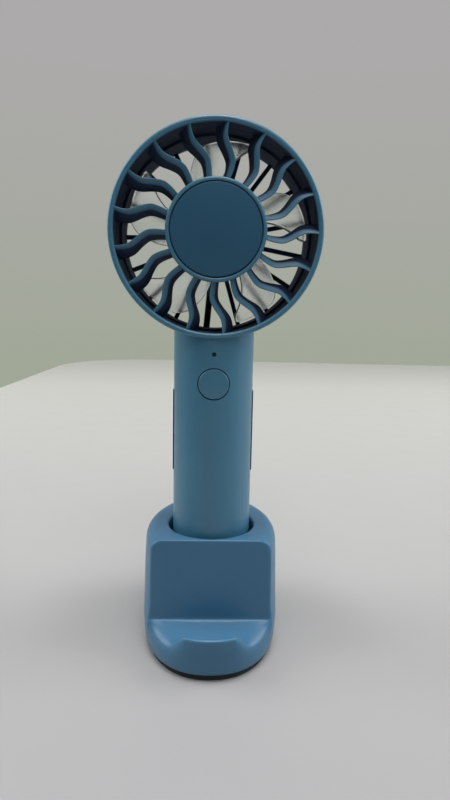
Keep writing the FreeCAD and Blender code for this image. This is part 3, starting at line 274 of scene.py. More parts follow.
def turned(name: str, axis: Axis, outline: Sequence[Pair],
           steps: int = MOULDING_STEPS) -> Workpiece:
    """A piece spun from its half section.

    Args:
        name: the piece's name.
        axis: the line that it is spun about.
        outline: the closed section's corners, radius and distance along, in millimetres.
        steps: segments in the full turn.

    Returns:
        The closed piece.
    """
    blank = outline_blank(name, [axis.place(*corner) for corner in outline], False)

    def on_axis(place: Vector) -> bool:
        """Whether a place in mm lies on the axis."""
        off = place * MM - axis.point
        return (off - axis.way * off.dot(axis.way)).length < ON_AXIS

    blank.pick(on_axis)
    with blank.editing("EDGE"):
        bpy.ops.mesh.delete(type="EDGE_FACE")
    with blank.editing("VERT"):
        bpy.ops.mesh.select_all(action="SELECT")
        bpy.ops.mesh.spin(steps=steps, angle=math.tau, center=axis.point, axis=axis.way)
    return blank.close()


def prism(name: str, places: Sequence[Vector], along: Vector, cuts: int = 0) -> Workpiece:
    """A flat outline extruded along a direction.

    Args:
        name: the piece's name.
        places: the outline's corners, in metres.
        along: the extrusion, in metres.
        cuts: loops of vertices added along it.

    Returns:
        The closed piece.
    """
    blank = outline_blank(name, places, True)
    with blank.editing():
        bpy.ops.mesh.select_all(action="SELECT")
        bpy.ops.mesh.extrude_region_move(TRANSFORM_OT_translate={"value": along})
    if cuts:
        mesh = blank.body.data
        blank.pick(lambda place: False)
        for edge in mesh.edges:
            first, last = (mesh.vertices[index].co for index in edge.vertices)
            edge.select = (last - first).cross(along).length < NOTHING
        with blank.editing("EDGE"):
            bpy.ops.mesh.subdivide(number_cuts=cuts)
    return blank.close()


def curve_through(points: Sequence[Pair], at: float) -> float:
    """The height of a smooth curve through points, at a place between the first and last."""
    index = max(i for i in range(len(points) - 1) if points[i][0] <= at + NOTHING)
    (x1, y1), (x2, y2) = points[index], points[index + 1]

    def slope(where: int) -> float:
        """The curve's slope at one of its points."""
        before, after = points[max(where - 1, 0)], points[min(where + 1, len(points) - 1)]
        return (after[1] - before[1]) / (after[0] - before[0])

    width = x2 - x1
    share = (at - x1) / width
    rise1, rise2 = slope(index) * width, slope(index + 1) * width
    square, cube = share ** 2, share ** 3
    return ((2 * cube - 3 * square + 1) * y1 + (cube - 2 * square + share) * rise1
            + (3 * square - 2 * cube) * y2 + (cube - square) * rise2)


# ----------------------------------------------------------------------------------------------
# Finishes
# ----------------------------------------------------------------------------------------------
def linear(code: str) -> tuple[float, float, float, float]:
    """A colour's linear values, from its sRGB hex code."""
    parts = [int(code[place:place + 2], 16) / 255 for place in (1, 3, 5)]
    red, green, blue = (part / 12.92 if part <= 0.04045 else ((part + 0.055) / 1.055) ** 2.4
                        for part in parts)
    return (red, green, blue, 1.0)


class Recipe:
    """A material's nodes in the making, with patterns in the object's own millimetres."""

    def __init__(self, name: str) -> None:
        """Start a material.

        Args:
            name: the material's name.
        """
        self.material = bpy.data.materials.new(name)
        self.material.use_nodes = True
        self.tree = self.material.node_tree
        self.shader = self.tree.nodes["Principled BSDF"]
        self.place = self.add("ShaderNodeTexCoord").outputs["Object"]

    def add(self, kind: str, sockets: dict | None = None, **settings: object) -> bpy.types.Node:
        """Add a node.

        Args:
            kind: the node's type.
            sockets: values or output sockets for its inputs, by name or number.
            **settings: the node's own settings.

        Returns:
            The node.
        """
        made = self.tree.nodes.new(kind)
        for name, value in settings.items():
            setattr(made, name, value)
        for name, value in (sockets or {}).items():
            if isinstance(value, bpy.types.NodeSocket):
                self.tree.links.new(value, made.inputs[name])
            else:
                made.inputs[name].default_value = value
        return made

    def grain(self, size: float, detail: float = 2.0) -> bpy.types.NodeSocket:
        """Even noise whose blotches are a size in millimetres across."""
        return self.add("ShaderNodeTexNoise", {"Vector": self.place, "Scale": 1 / (size * MM),
                                               "Detail": detail}).outputs["Fac"]

    def between(self, amount: bpy.types.NodeSocket, low: float, high: float,
                start: float = 0.3, end: float = 0.7) -> bpy.types.NodeSocket:
        """The amount stretched from start and end to low and high."""
        return self.add("ShaderNodeMapRange", {"Value": amount, "From Min": start, "From Max": end,
                                               "To Min": low, "To Max": high}).outputs["Result"]

    def blend(self, amount: bpy.types.NodeSocket, first: str, second: str) -> bpy.types.NodeSocket:
        """Two sRGB colours mixed by an amount."""
        return self.add("ShaderNodeMix", {"Factor": amount, "A": linear(first),
                                          "B": linear(second)},
                        data_type="RGBA").outputs["Result"]

    def relief(self, height: bpy.types.NodeSocket, depth: float) -> None:
        """Raise the surface by a height pattern, as deep as a number of millimetres."""
        bump = self.add("ShaderNodeBump", {"Height": height, "Distance": depth * MM,
                                           "Strength": 1.0})
        self.tree.links.new(bump.outputs["Normal"], self.shader.inputs["Normal"])

    def feed(self, **sockets: bpy.types.NodeSocket) -> None:
        """Link patterns to the shader's sockets, named with underscores for spaces."""
        for name, socket in sockets.items():
            self.tree.links.new(socket, self.shader.inputs[name.replace("_", " ")])

    def fix(self, **amounts: float) -> None:
        """Set the shader's own sockets, named with underscores for spaces."""
        for name, amount in amounts.items():
            self.shader.inputs[name.replace("_", " ")].default_value = amount


@dataclass(frozen=True)
class Moulded:
    """Moulded plastic or rubber: a spark-eroded skin over a lightly mottled colour."""

    name: str
    colour: str
    deep: str
    roughness: float
    grain: float = 0.45
    relief: float = 0.012
    coat: float = 0.0
    specular: float = 0.5
    ior: float = 1.53
    mottle: float = 28.0
    gloss_patch: float = 7.0
    gloss_spread: float = 0.03
    coat_roughness: float = 0.2

    def recipe(self) -> Recipe:
        """Make the material's nodes."""
        recipe = Recipe(self.name)
        cloud = recipe.grain(self.mottle, 1.0)
        skin = recipe.grain(self.grain)
        recipe.feed(Base_Color=recipe.blend(recipe.between(cloud, 0.0, 1.0), self.colour,
                                            self.deep),
                    Roughness=recipe.between(recipe.grain(self.gloss_patch),
                                             self.roughness - self.gloss_spread,
                                             self.roughness + self.gloss_spread))
        recipe.relief(skin, self.relief)
        recipe.fix(IOR=self.ior, Coat_Weight=self.coat, Coat_Roughness=self.coat_roughness,
                   Specular_IOR_Level=self.specular)
        return recipe

    def material(self) -> bpy.types.Material:
        """Make the material."""
        return self.recipe().material


@dataclass(frozen=True)
class DrumMoulded(Moulded):
    """Moulded plastic of the fan's drum: the faces inside it carry a coarser texture, so they are
    matt, and their colour is painted a darker navy there as painted shade inside the duct."""

    # painted shade: this darker navy is the colour that the faces inside the drum take, standing in
    # for the shade in the duct
    inside: str = "#162D4C"
    inside_roughness: float = 0.92
    # where the painted shade and the matt roughness lie: inside this radius, from the lip to the
    # rear, fading in over these lengths
    bore: float = 42.4
    lip: float = -18.7
    lip_fade: float = 2.0
    rear: float = 17.0
    rear_fade: float = 0.5

    def material(self) -> bpy.types.Material:
        """Make the material."""
        recipe = self.recipe()
        to_fan = recipe.add("ShaderNodeVectorMath", {0: recipe.place, 1: Axis.FAN.point},
                            operation="SUBTRACT").outputs["Vector"]
        flat = recipe.add("ShaderNodeVectorMath", {0: to_fan, 1: (1.0, 0.0, 1.0)},
                          operation="MULTIPLY").outputs["Vector"]
        reach = recipe.add("ShaderNodeVectorMath", {0: flat}, operation="LENGTH").outputs["Value"]
        depth = recipe.add("ShaderNodeSeparateXYZ", {0: recipe.place}).outputs["Y"]
        within = recipe.between(reach, 1.0, 0.0, (self.bore - self.rear_fade) * MM,
                                self.bore * MM)
        behind = recipe.between(depth, 0.0, 1.0, self.lip * MM, (self.lip + self.lip_fade) * MM)
        before = recipe.between(depth, 1.0, 0.0, (self.rear - self.rear_fade) * MM,
                                self.rear * MM)
        both = recipe.add("ShaderNodeMath", {0: within, 1: behind}, operation="MULTIPLY").outputs[0]
        painted_shade_and_matt = recipe.add("ShaderNodeMath", {0: both, 1: before},
                                 operation="MULTIPLY").outputs[0]
        # painted shade: inside the drum the base colour turns to the darker inside colour, and the
        # roughness turns matt
        for name, value, kind in (("Base Color", linear(self.inside), "RGBA"),
                                  ("Roughness", self.inside_roughness, "FLOAT")):
            socket = recipe.shader.inputs[name]
            mix = recipe.add("ShaderNodeMix", {"Factor": painted_shade_and_matt,
                                               "A": socket.links[0].from_socket, "B": value},
                             data_type=kind)
            recipe.tree.links.new(mix.outputs["Result"], socket)
        return recipe.material


@dataclass(frozen=True)
class Milky:
    """Clear styrene with a milky tint: light comes through it, and its flow lines show."""

    name: str
    colour: str
    deep: str
    through: float
    roughness: float
    cloud: float = 16.0
    gloss_patch: float = 5.0
    duller: Pair = (0.04, 0.06)
    flow: float = 9.0
    flow_depth: float = 0.12
    ior: float = 1.57

    def material(self) -> bpy.types.Material:
        """Make the material."""
        recipe = Recipe(self.name)
        recipe.feed(Base_Color=recipe.blend(recipe.between(recipe.grain(self.cloud), 0.0, 1.0),
                                            self.colour, self.deep),
                    Roughness=recipe.between(recipe.grain(self.gloss_patch),
                                             self.roughness - self.duller[0],
                                             self.roughness + self.duller[1]))
        recipe.relief(recipe.grain(self.flow, 1.0), self.flow_depth)
        recipe.fix(IOR=self.ior, Transmission_Weight=self.through)
        return recipe.material


@dataclass(frozen=True)
class Metal:
    """Bare or plated metal, with fine drawn or turned lines along one axis."""

    name: str
    colour: str
    deep: str
    roughness: float
    stretch: tuple[float, float, float] = (1.0, 1.0, 1.0)
    line: float = 0.3
    duller: Pair = (0.06, 0.08)
    line_depth: float = 0.01

    def material(self) -> bpy.types.Material:
        """Make the material."""
        recipe = Recipe(self.name)
        drawn = recipe.add("ShaderNodeMapping", {"Vector": recipe.place, "Scale": self.stretch})
        lines = recipe.add("ShaderNodeTexNoise", {"Vector": drawn.outputs["Vector"],
                                                  "Scale": 1 / (self.line * MM), "Detail": 3.0})
        streak = lines.outputs["Fac"]
        recipe.feed(Base_Color=recipe.blend(recipe.between(streak, 0.0, 1.0), self.colour,
                                            self.deep),
                    Roughness=recipe.between(streak, self.roughness - self.duller[0],
                                             self.roughness + self.duller[1]))
        recipe.relief(streak, self.line_depth)
        recipe.fix(Metallic=1.0)
        return recipe.material


@dataclass(frozen=True)
class Wound:
    """Enamelled copper wire in tight turns round a tooth."""

    name: str
    colour: str
    deep: str
    wire: float = 0.5
    # how far apart a wave texture's bands are at a scale of one
    band: float = 0.314
    dirt: float = 2.0
    gloss: Pair = (0.25, 0.4)
    turn_depth: float = 0.2

    def material(self) -> bpy.types.Material:
        """Make the material."""
        recipe = Recipe(self.name)
        turns = recipe.add("ShaderNodeTexWave", {"Vector": recipe.place,
                                                 "Scale": self.band / (self.wire * MM)},
                           bands_direction="Y", wave_profile="SIN").outputs["Fac"]
        recipe.feed(Base_Color=recipe.blend(turns, self.deep, self.colour),
                    Roughness=recipe.between(recipe.grain(self.dirt), *self.gloss))
        recipe.relief(turns, self.turn_depth)
        recipe.fix(Metallic=1.0)
        return recipe.material


@dataclass(frozen=True)
class Board:
    """Fibreglass board under solder mask, with copper tracks that show through it."""

    name: str
    colour: str
    track: str
    pitch: float = 1.6
    track_edge: Pair = (0.42, 0.5)
    track_depth: float = 0.05
    flux: float = 4.0
    gloss: Pair = (0.28, 0.42)
    ior: float = 1.5

    def material(self) -> bpy.types.Material:
        """Make the material."""
        recipe = Recipe(self.name)
        cells = recipe.add("ShaderNodeTexVoronoi", {"Vector": recipe.place,
                                                    "Scale": 1 / (self.pitch * MM)},
                           distance="CHEBYCHEV", feature="F2").outputs["Distance"]
        tracks = recipe.between(cells, 1.0, 0.0, *self.track_edge)
        recipe.feed(Base_Color=recipe.blend(tracks, self.colour, self.track),
                    Roughness=recipe.between(recipe.grain(self.flux), *self.gloss))
        recipe.relief(tracks, self.track_depth)
        recipe.fix(IOR=self.ior)
        return recipe.material


class Finish(Enum):
    """What each piece is made of."""

    # ABS with a satin, spark-eroded skin: broad soft highlights and no mirror image
    SATIN_ABS = Moulded("satin_moulded_abs", "#457C96", "#427992", 0.32)
    # the same ABS on the drum and its grilles: satin outside, matt inside, with painted shade: a
    # darker colour on the faces inside the drum
    DRUM_ABS = DrumMoulded("satin_moulded_abs_drum_painted_shade_inside", "#457C96", "#427992", 0.32)
    # the dock's own batch of ABS, a little bluer
    DOCK_ABS = Moulded("satin_moulded_abs_dock", "#417292", "#3E6F8F", 0.38, specular=0.4)
    # the same ABS in a deeper tint, on the face disc
    DEEP_ABS = Moulded("satin_moulded_abs_deep", "#305F7B", "#2E5C78", 0.42, specular=0.3)
    # soft-touch elastomer moulded over the handle's flanks: near black, hardly any shine
    SOFT_GRIP = Moulded("soft_touch_elastomer", "#1B2535", "#161E2C", 0.62, grain=0.6, relief=0.03)
    # moulded rubber under the dock: black, matt and a little dusty
    FOOT_RUBBER = Moulded("moulded_nitrile_rubber", "#11191E", "#1A2328", 0.78, grain=0.8,
                          relief=0.05)
    # glass-filled nylon inside: dark and matt, with a coarse skin
    DARK_NYLON = Moulded("glass_filled_nylon", "#23262A", "#1C1F22", 0.6, grain=0.7, relief=0.04)
    # clear styrene, a little milky: pale grey, glossy, light comes through it
    MILKY_STYRENE = Milky("milky_clear_styrene", "#FFFFFF", "#F6F8F5", 0.88, 0.2)
    # smoked acrylic light pipe: a polished dark dot while the light is off
    SMOKED_ACRYLIC = Moulded("smoked_acrylic", "#070A0E", "#05080B", 0.2, relief=0.002)
    # zinc-plated steel, drawn: cool grey with fine lines
    ZINC_STEEL = Metal("zinc_plated_steel", "#B9BBBD", "#9A9CA0", 0.34, (1.0, 0.15, 1.0))
    # sintered ferrite and stacked laminations: near black, matt and slightly gritty
    FERRITE = Moulded("sintered_ferrite", "#2B2B2E", "#222225", 0.55, grain=0.5, relief=0.03,
                      specular=0.7)
    # enamelled copper wire
    COPPER_WIRE = Wound("enamelled_copper_wire", "#C77A45", "#6E3517")
    # oil-filled sintered bronze
    BRONZE = Metal("sintered_bronze", "#B98F55", "#8F6B3C", 0.42, line=0.6)
    # solder mask over fibreglass
    SOLDER_MASK = Board("solder_masked_fibreglass", "#12462B", "#2B6B44")
    # PVC shrink sleeve round the cell: smooth and slightly orange-peeled
    SHRINK_SLEEVE = Moulded("pvc_shrink_sleeve", "#2E5E96", "#29558A", 0.28, grain=2.0,
                            relief=0.02, coat=0.3)
    # PVC-insulated lead
    PVC = Moulded("pvc_insulation", "#20262C", "#1B2026", 0.4, grain=1.2, relief=0.02)

    def dress(self, thing: bpy.types.Object) -> None:
        """Give an object this finish as its only material."""
        thing.data.materials.clear()
        thing.data.materials.append(_material(self))


MADE: dict[Finish, bpy.types.Material] = {}


def _material(finish: Finish) -> bpy.types.Material:
    """The finish's material, made once."""
    if finish not in MADE:
        MADE[finish] = finish.value.material()
    return MADE[finish]


class Slot(Enum):
    """Names listed for the material slots of the pieces that are modelled here; no piece is given
    them.
    """

    HOUSING = "housing_plastic"
    CAP = "cap_plastic"
    DARK = "dark_plastic"
    IMPELLER = "impeller_plastic"
    FOOT = "foot_rubber"
    STEEL = "screw_steel"
    BRASS = "bearing_brass"


def fit(piece: Workpiece, body: str, slot: Slot, finish: Finish, *nodes: str) -> None:
    """Dress a finished piece, set it on its body and hide the CAD nodes that it stands in for."""
    finish.dress(piece.body)
    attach(piece.body, body)
    if nodes:
        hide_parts(*nodes)
    LOG.info("%s: %d faces", piece.body.name, len(piece.body.data.polygons))


# ----------------------------------------------------------------------------------------------
# Dock
# ----------------------------------------------------------------------------------------------
@dataclass
class Dock:
    """The desk dock: an egg-shaped moulding with a socket, a leaning plane, a shelf and a lip."""

    half_width: float = 30.9
    front_reach: float = 46.2
    rear_reach: float = 44.0
    height: float = 51.8
    floor: float = 2.1
    base_inset: float = 0.6
    neck_inset: float = 0.8
    belly_height: float = 18.3
    shoulder: float = 5.0
    mouth_radius: float = 19.9
    socket_radius: float = 18.3
    socket_floor: float = 8.0
    low_steps: int = 8
    high_steps: int = 10
    plane_top: Pair = (21.7, 51.8)
    fold: Pair = (25.1, 16.1)
    fold_round: float = 1.0
    trough: Pair = (40.5, 12.6)
    trough_round: float = 6.0
    lip_height: float = 19.0
    lip_top_half: float = 12.4
    lip_foot_half: float = 18.4
    lip_wall: float = 2.6
    lip_crest_round: float = 4.0
    lip_foot_round: float = 5.0
    front_squareness: Sequence[Pair] = ((-5.0, 2.24), (9.0, 2.3), (13.5, 2.42), (18.0, 2.2),
                                        (24.0, 2.03), (60.0, 2.0))
    bottom_edge: float = 1.1
    edge_passes: int = 9
    lobe_side: Pair = (10.5, 17.0)
    lobe_foot: Pair = (5.0, 11.0)
    # where the lobes set in, before the fold and above it
    lobe_front: Pair = (0.5, 4.0)
    lobe_top: Pair = (5.0, 2.0)
    smoothing: float = 0.5
    shelf_passes: int = 500
    plate_inset: float = 2.4
    plate_top: float = 4.1
    pad_inset: float = 1.4
    pad_edge: float = 0.35
    socket_over: float = 2.0
    voxel: float = 0.6
    far: float = 100.0

    def egg(self, name: str, inset: float, low: float) -> Workpiece:
        """The outer form, less a wall, down to a height."""
        belly = self.half_width - inset
        drop = self.belly_height - self.floor
        rise = self.height - self.shoulder - self.belly_height
        low_radius = (drop ** 2 + self.base_inset ** 2) / (2 * self.base_inset)
        high_radius = (rise ** 2 + self.neck_inset ** 2) / (2 * self.neck_inset)
        top = self.height - inset
        sine = (top - self.shoulder - self.belly_height) / (high_radius - self.shoulder)
        lean = math.asin(sine)
        foot = belly - self.base_inset
        outline: list[Pair] = [(0.0, low), (foot - self.bottom_edge, low)]
        for step in range(self.low_steps + 1):
            turn = -math.asin((drop - self.bottom_edge) / low_radius) * (1 - step / self.low_steps)
            outline.append((belly - low_radius * (1 - math.cos(turn)),
                            self.belly_height + low_radius * math.sin(turn)))
        for step in range(1, self.high_steps + 1):
            turn = lean * step / self.high_steps
            outline.append((belly - high_radius * (1 - math.cos(turn)),
                            self.belly_height + high_radius * math.sin(turn)))
        middle = (outline[-1][0] - self.shoulder * math.cos(lean),
                  outline[-1][1] - self.shoulder * sine)
        for step in range(1, self.high_steps + 1):
            turn = lean + (math.pi / 2 - lean) * step / self.high_steps
            outline.append((middle[0] + self.shoulder * math.cos(turn),
                            middle[1] + self.shoulder * math.sin(turn)))
        outline.append((0.0, top))
        return turned(name, Axis.HANDLE, outline, DOCK_STEPS).shape(
            lambda place: self.stretch(place, inset))

    def stretch(self, place: Vector, inset: float) -> Vector:
        """Pull the round form out to its reach, and its front a little square."""
        belly = self.half_width - inset
        if place.y > 0:
            return Vector((place.x, place.y * (self.rear_reach - inset) / belly, place.z))
        power = curve_through(self.front_squareness, place.z)
        turn = math.atan2(place.y, place.x)
        grow = (abs(math.cos(turn)) ** power + abs(math.sin(turn)) ** power) ** (-1 / power)
        return Vector((place.x * grow, place.y * grow * (self.front_reach - inset) / belly,
                       place.z))

    def pad(self) -> Workpiece:
        """The rubber pad under the dock, in the outline of the dock's own foot."""
        edge = self.half_width - self.pad_inset - self.base_inset
        return turned("rubber_pad", Axis.HANDLE, eased([
            (0.0, 0.0, 0.0), (edge, 0.0, self.pad_edge), (edge, self.floor, TOUCHED),
            (0.0, self.floor, 0.0)]),
            DOCK_STEPS).shape(lambda place: self.stretch(place, self.pad_inset))

    def recess(self) -> Workpiece:
        """What is cut away for the phone: in front of the plane and above the shelf."""
        (top, high), (fold, middle), (trough, low) = self.plane_top, self.fold, self.trough
        lean = (fold - top) / (high - middle)
        profile = eased([(-fold, middle, self.fold_round), (-trough, low, self.trough_round),
                         (-self.far, low, 0.0), (-self.far, self.far, 0.0),
                         (lean * (self.far - middle) - fold, self.far, 0.0)])
        room = prism("recess", [Vector((-self.far, y, z)) * MM for y, z in profile],
                     Vector((2 * self.far * MM, 0, 0)))
        crest, foot = self.lip_crest_round, self.lip_foot_round
        rim = eased([(-self.half_width, 0.0, 0.0), (self.half_width, 0.0, 0.0),
                     (self.half_width, low, 0.0), (self.lip_foot_half, low, foot),
                     (self.lip_top_half, self.lip_height, crest),
                     (-self.lip_top_half, self.lip_height, crest),
                     (-self.lip_foot_half, low, foot), (-self.half_width, low, 0.0)])
        lip = prism("lip", [Vector((x, 0, z)) * MM for x, z in rim],
                    Vector((0, -self.far * MM, 0)))
        lip.carve(self.egg("lip_inside", self.lip_wall, -1.0))
        return room.carve(lip)

    def socket(self) -> Workpiece:
        """The tapered hole that the handle stands in."""
        rise = self.height - self.socket_floor
        slope = (self.mouth_radius - self.socket_radius) / rise
        deep = rise + self.socket_over
        return Workpiece("socket", bpy.ops.mesh.primitive_cone_add, vertices=MOULDING_STEPS,
                         radius1=self.socket_radius * MM,
                         radius2=(self.socket_radius + slope * deep) * MM, depth=deep * MM,
                         location=(0, 0, (self.socket_floor + deep / 2) * MM))

    def lobe_share(self, place: Vector) -> float:
        """How much a place takes part in the broad rounding of the shelf's open edges."""
        fold, middle = self.fold

        def rise(value: float, start: float, end: float) -> float:
            """How far a value is from start to end."""
            return min(max((value - start) / (end - start), 0.0), 1.0)

        forward = rise(-place.y, *(fold + reach for reach in self.lobe_front))
        below = rise(-place.z, *(-middle - reach for reach in self.lobe_top))
        return (forward * rise(abs(place.x), *self.lobe_side)
                * rise(place.z, *self.lobe_foot) * below)

    def build(self) -> None:
        """Model the moulding and dress the whole dock."""
        body = self.egg("dock_moulding", 0.0, self.floor)
        body.carve(self.recess(), self.socket())
        body.carve(self.egg("plate_room", self.plate_inset, -1.0).carve(
            Workpiece("above_plate", bpy.ops.mesh.primitive_cube_add, size=4 * self.far * MM,
                      location=(0, 0, (2 * self.far + self.plate_top) * MM))))
        # the mould's edges are all broken: an even skin of small faces is smoothed over them
        body.modify("REMESH", mode="VOXEL", voxel_size=self.voxel * MM)
        body.modify("SMOOTH", factor=self.smoothing, iterations=self.edge_passes)
        lobes = body.body.vertex_groups.new(name="lobes")
        for point in body.body.data.vertices:
            lobes.add([point.index], self.lobe_share(point.co / MM), "REPLACE")
        body.modify("SMOOTH", factor=self.smoothing, iterations=self.shelf_passes,
                    vertex_group=lobes.name)
        body.body.vertex_groups.clear()
        body.hold()
        bpy.ops.object.shade_smooth()
        fit(body, "dock", Slot.HOUSING, Finish.DOCK_ABS, "dock_body")
        fit(self.pad().smooth(), "dock", Slot.FOOT, Finish.FOOT_RUBBER, "dock_foot_pad")


# ----------------------------------------------------------------------------------------------
# Head
# ----------------------------------------------------------------------------------------------
@dataclass
class FrontGrille:
    """Rim, wavy vanes, hub ring and the face disc in it."""

    outside: float = 44.0
    bore: float = 41.7
    bore_edge: float = 1.0
    rim_edge: float = 1.15
    face: float = -18.9
    seat: float = -14.0
    seat_edge: float = 0.15
    spigot: float = 42.8
    spigot_end: float = -9.3
    vanes: int = 17
    first_vane: float = -1.0
    vane_front: float = -18.4
    vane_back: float = -9.4
    front_width: float = 1.0
    hub_width: float = 2.1
    widening: float = 0.45
    facet: float = 0.8
    back_width: float = 1.6
    twist: float = 5.5
    vane_outer: float = 42.2
    vane_inner: float = 19.65
    wave: Sequence[Pair] = ((0.0, 0.35), (0.16, 0.55), (0.3, -0.05), (0.5, -2.55),
                            (0.65, -3.85), (0.82, -3.55), (1.0, -2.45))
    wave_cuts: int = 31
    slope_step: float = 0.02
    ridge_round: float = 0.15
    hub_outside: float = 20.7
    hub_edge: float = 0.85
    hub_bore: float = 19.1
    hub_bore_edge: float = 0.55
    hub_face: float = -19.8
    hub_back: float = -13.5
    web_face: float = -18.0
    web_back: float = -16.4
    disc_radius: float = 18.6

    def rim(self) -> Workpiece:
        """The front rim with its spigot."""
        return turned("front_grille_moulding", Axis.FAN, eased([
            (self.bore, self.face, self.bore_edge), (self.outside, self.face, self.rim_edge),
            (self.outside, self.seat, self.seat_edge), (self.spigot, self.seat, 0.0),
            (self.spigot, self.spigot_end, BROKEN), (self.bore, self.spigot_end, BROKEN)]),
            DRUM_STEPS)

    def hub(self) -> Workpiece:
        """The hub ring and the web that carries the face disc."""
        return turned("hub_ring", Axis.FAN, eased([
            (0.0, self.web_face, 0.0), (self.hub_bore, self.web_face, 0.0),
            (self.hub_bore, self.hub_face, self.hub_bore_edge),
            (self.hub_outside, self.hub_face, self.hub_edge),
            (self.hub_outside, self.hub_back, EASED), (self.disc_radius, self.hub_back, BROKEN),
            (self.disc_radius, self.web_back, 0.0), (0.0, self.web_back, 0.0)]))

    def vane(self) -> Workpiece:
        """One vane along its wave, slanted from front to back, with a rounded ridge."""
        front, back = self.front_width / 2, self.back_width / 2
        depth = self.vane_back - self.vane_front
        grown = (self.hub_width - front) / front
        section = eased([(-front, self.facet, BROKEN), (0.0, 0.0, self.ridge_round),
                         (front, 0.0, EASED), (back, depth, SOFT), (-back, depth, SOFT)], 3)
        blank = prism("vane", [Vector((0.0, y, x)) * MM for x, y in section],
                      Vector((MM, 0, 0)), self.wave_cuts)

        def follow(place: Vector) -> Vector:
            """Carry a point of the straight bar to its place on the wave."""
            share = min(max(place.x, 0.0), 1.0)
            low, high = max(share - self.slope_step, 0.0), min(share + self.slope_step, 1.0)
            reach = self.vane_inner - self.vane_outer
            run = Vector(((high - low) * reach,
                          curve_through(self.wave, high) - curve_through(self.wave, low)))
            run.normalize()
            # the ridge widens towards the hub, on its counterclockwise side
            along = min(share / self.widening, 1.0)
            wide = 1 + (grown - 1) * along ** 2 * (3 - 2 * along) * (1 - place.y / depth)
            across = place.z * (wide if place.z < 0 else 1.0)
            radius = self.vane_outer + share * reach - run.y * across
            aside = curve_through(self.wave, share) + run.x * across
            turn = self.first_vane + self.twist * place.y / depth
            return Axis.FAN.place(radius, self.vane_front + place.y, turn, aside) / MM

        return blank.shape(follow).close()

    def build(self) -> None:
        """Model and dress the grille and its disc."""
        vane = self.vane()
        copies = [vane.copy(f"vane_{index}").swing(Axis.FAN, index * FULL_TURN / self.vanes)
                  for index in range(1, self.vanes)]
        grille = self.rim().gather([self.hub(), vane, *copies]).smooth(CREASE)
        fit(grille, "fan", Slot.HOUSING, Finish.DRUM_ABS, "front_grille")
        disc = turned("face_disc", Axis.FAN, eased([
            (0.0, self.hub_face, 0.0), (self.disc_radius, self.hub_face, EASED),
            (self.disc_radius, self.web_face, 0.0), (0.0, self.web_face, 0.0)]))
        fit(disc.smooth(), "fan", Slot.CAP, Finish.DEEP_ABS, "grille_cap")


@dataclass
class RearGrille:
    """Outer ring, straight spokes and the hub disc that carries the bearing tube."""

    bore: float = 40.7
    outside: float = 42.1
    front: float = 10.6
    back: float = 17.6
    spokes: int = 17
    first_spoke: float = -95.0
    spoke_width: float = 1.9
    spoke_depth: float = 3.6
    spoke_front_edge: float = 0.45
    spoke_back_edge: float = 0.35
    hub: float = 18.0
    hub_front_edge: float = 0.5
    hub_back_edge: float = 0.6
    wall: float = 2.4
    tube: float = 4.2
    tube_bore: float = 3.0
    tube_front: float = -6.0

    def build(self) -> None:
        """Model and dress the grille."""
        face = self.back - self.spoke_depth
        ring = turned("rear_grille_moulding", Axis.FAN, eased([
            (self.bore, self.front, EASED), (self.outside, self.front, BROKEN),
            (self.outside, self.back, BROKEN), (self.bore, self.back, SOFT)]), DRUM_STEPS)
        hub = turned("rear_hub", Axis.FAN, eased([
            (self.tube_bore, self.tube_front, 0.0), (self.tube, self.tube_front, BROKEN),
            (self.tube, face, EASED), (self.hub, face, self.hub_front_edge),
            (self.hub, self.back, self.hub_back_edge), (self.hub - self.wall, self.back, SOFT),
            (self.hub - self.wall, face + self.wall, SOFT), (0.0, face + self.wall, 0.0),
            (0.0, face, 0.0), (self.tube_bore, face, 0.0)]))
        half = self.spoke_width / 2
        front, back = self.spoke_front_edge, self.spoke_back_edge
        section = eased([(-half, face, front), (half, face, front), (half, self.back, back),
                         (-half, self.back, back)], 3)
        start, end = self.hub - self.wall / 2, (self.bore + self.outside) / 2
        spoke = prism("spoke", [Axis.FAN.place(start, y, self.first_spoke, x) for x, y in section],
                      Axis.FAN.place(end, 0.0, self.first_spoke)
                      - Axis.FAN.place(start, 0.0, self.first_spoke))
        copies = [spoke.copy(f"spoke_{index}").swing(Axis.FAN, index * FULL_TURN / self.spokes)
                  for index in range(1, self.spokes)]
        ring.gather([hub, spoke, *copies]).smooth(CREASE)
        fit(ring, "fan", Slot.HOUSING, Finish.DRUM_ABS, "rear_grille")


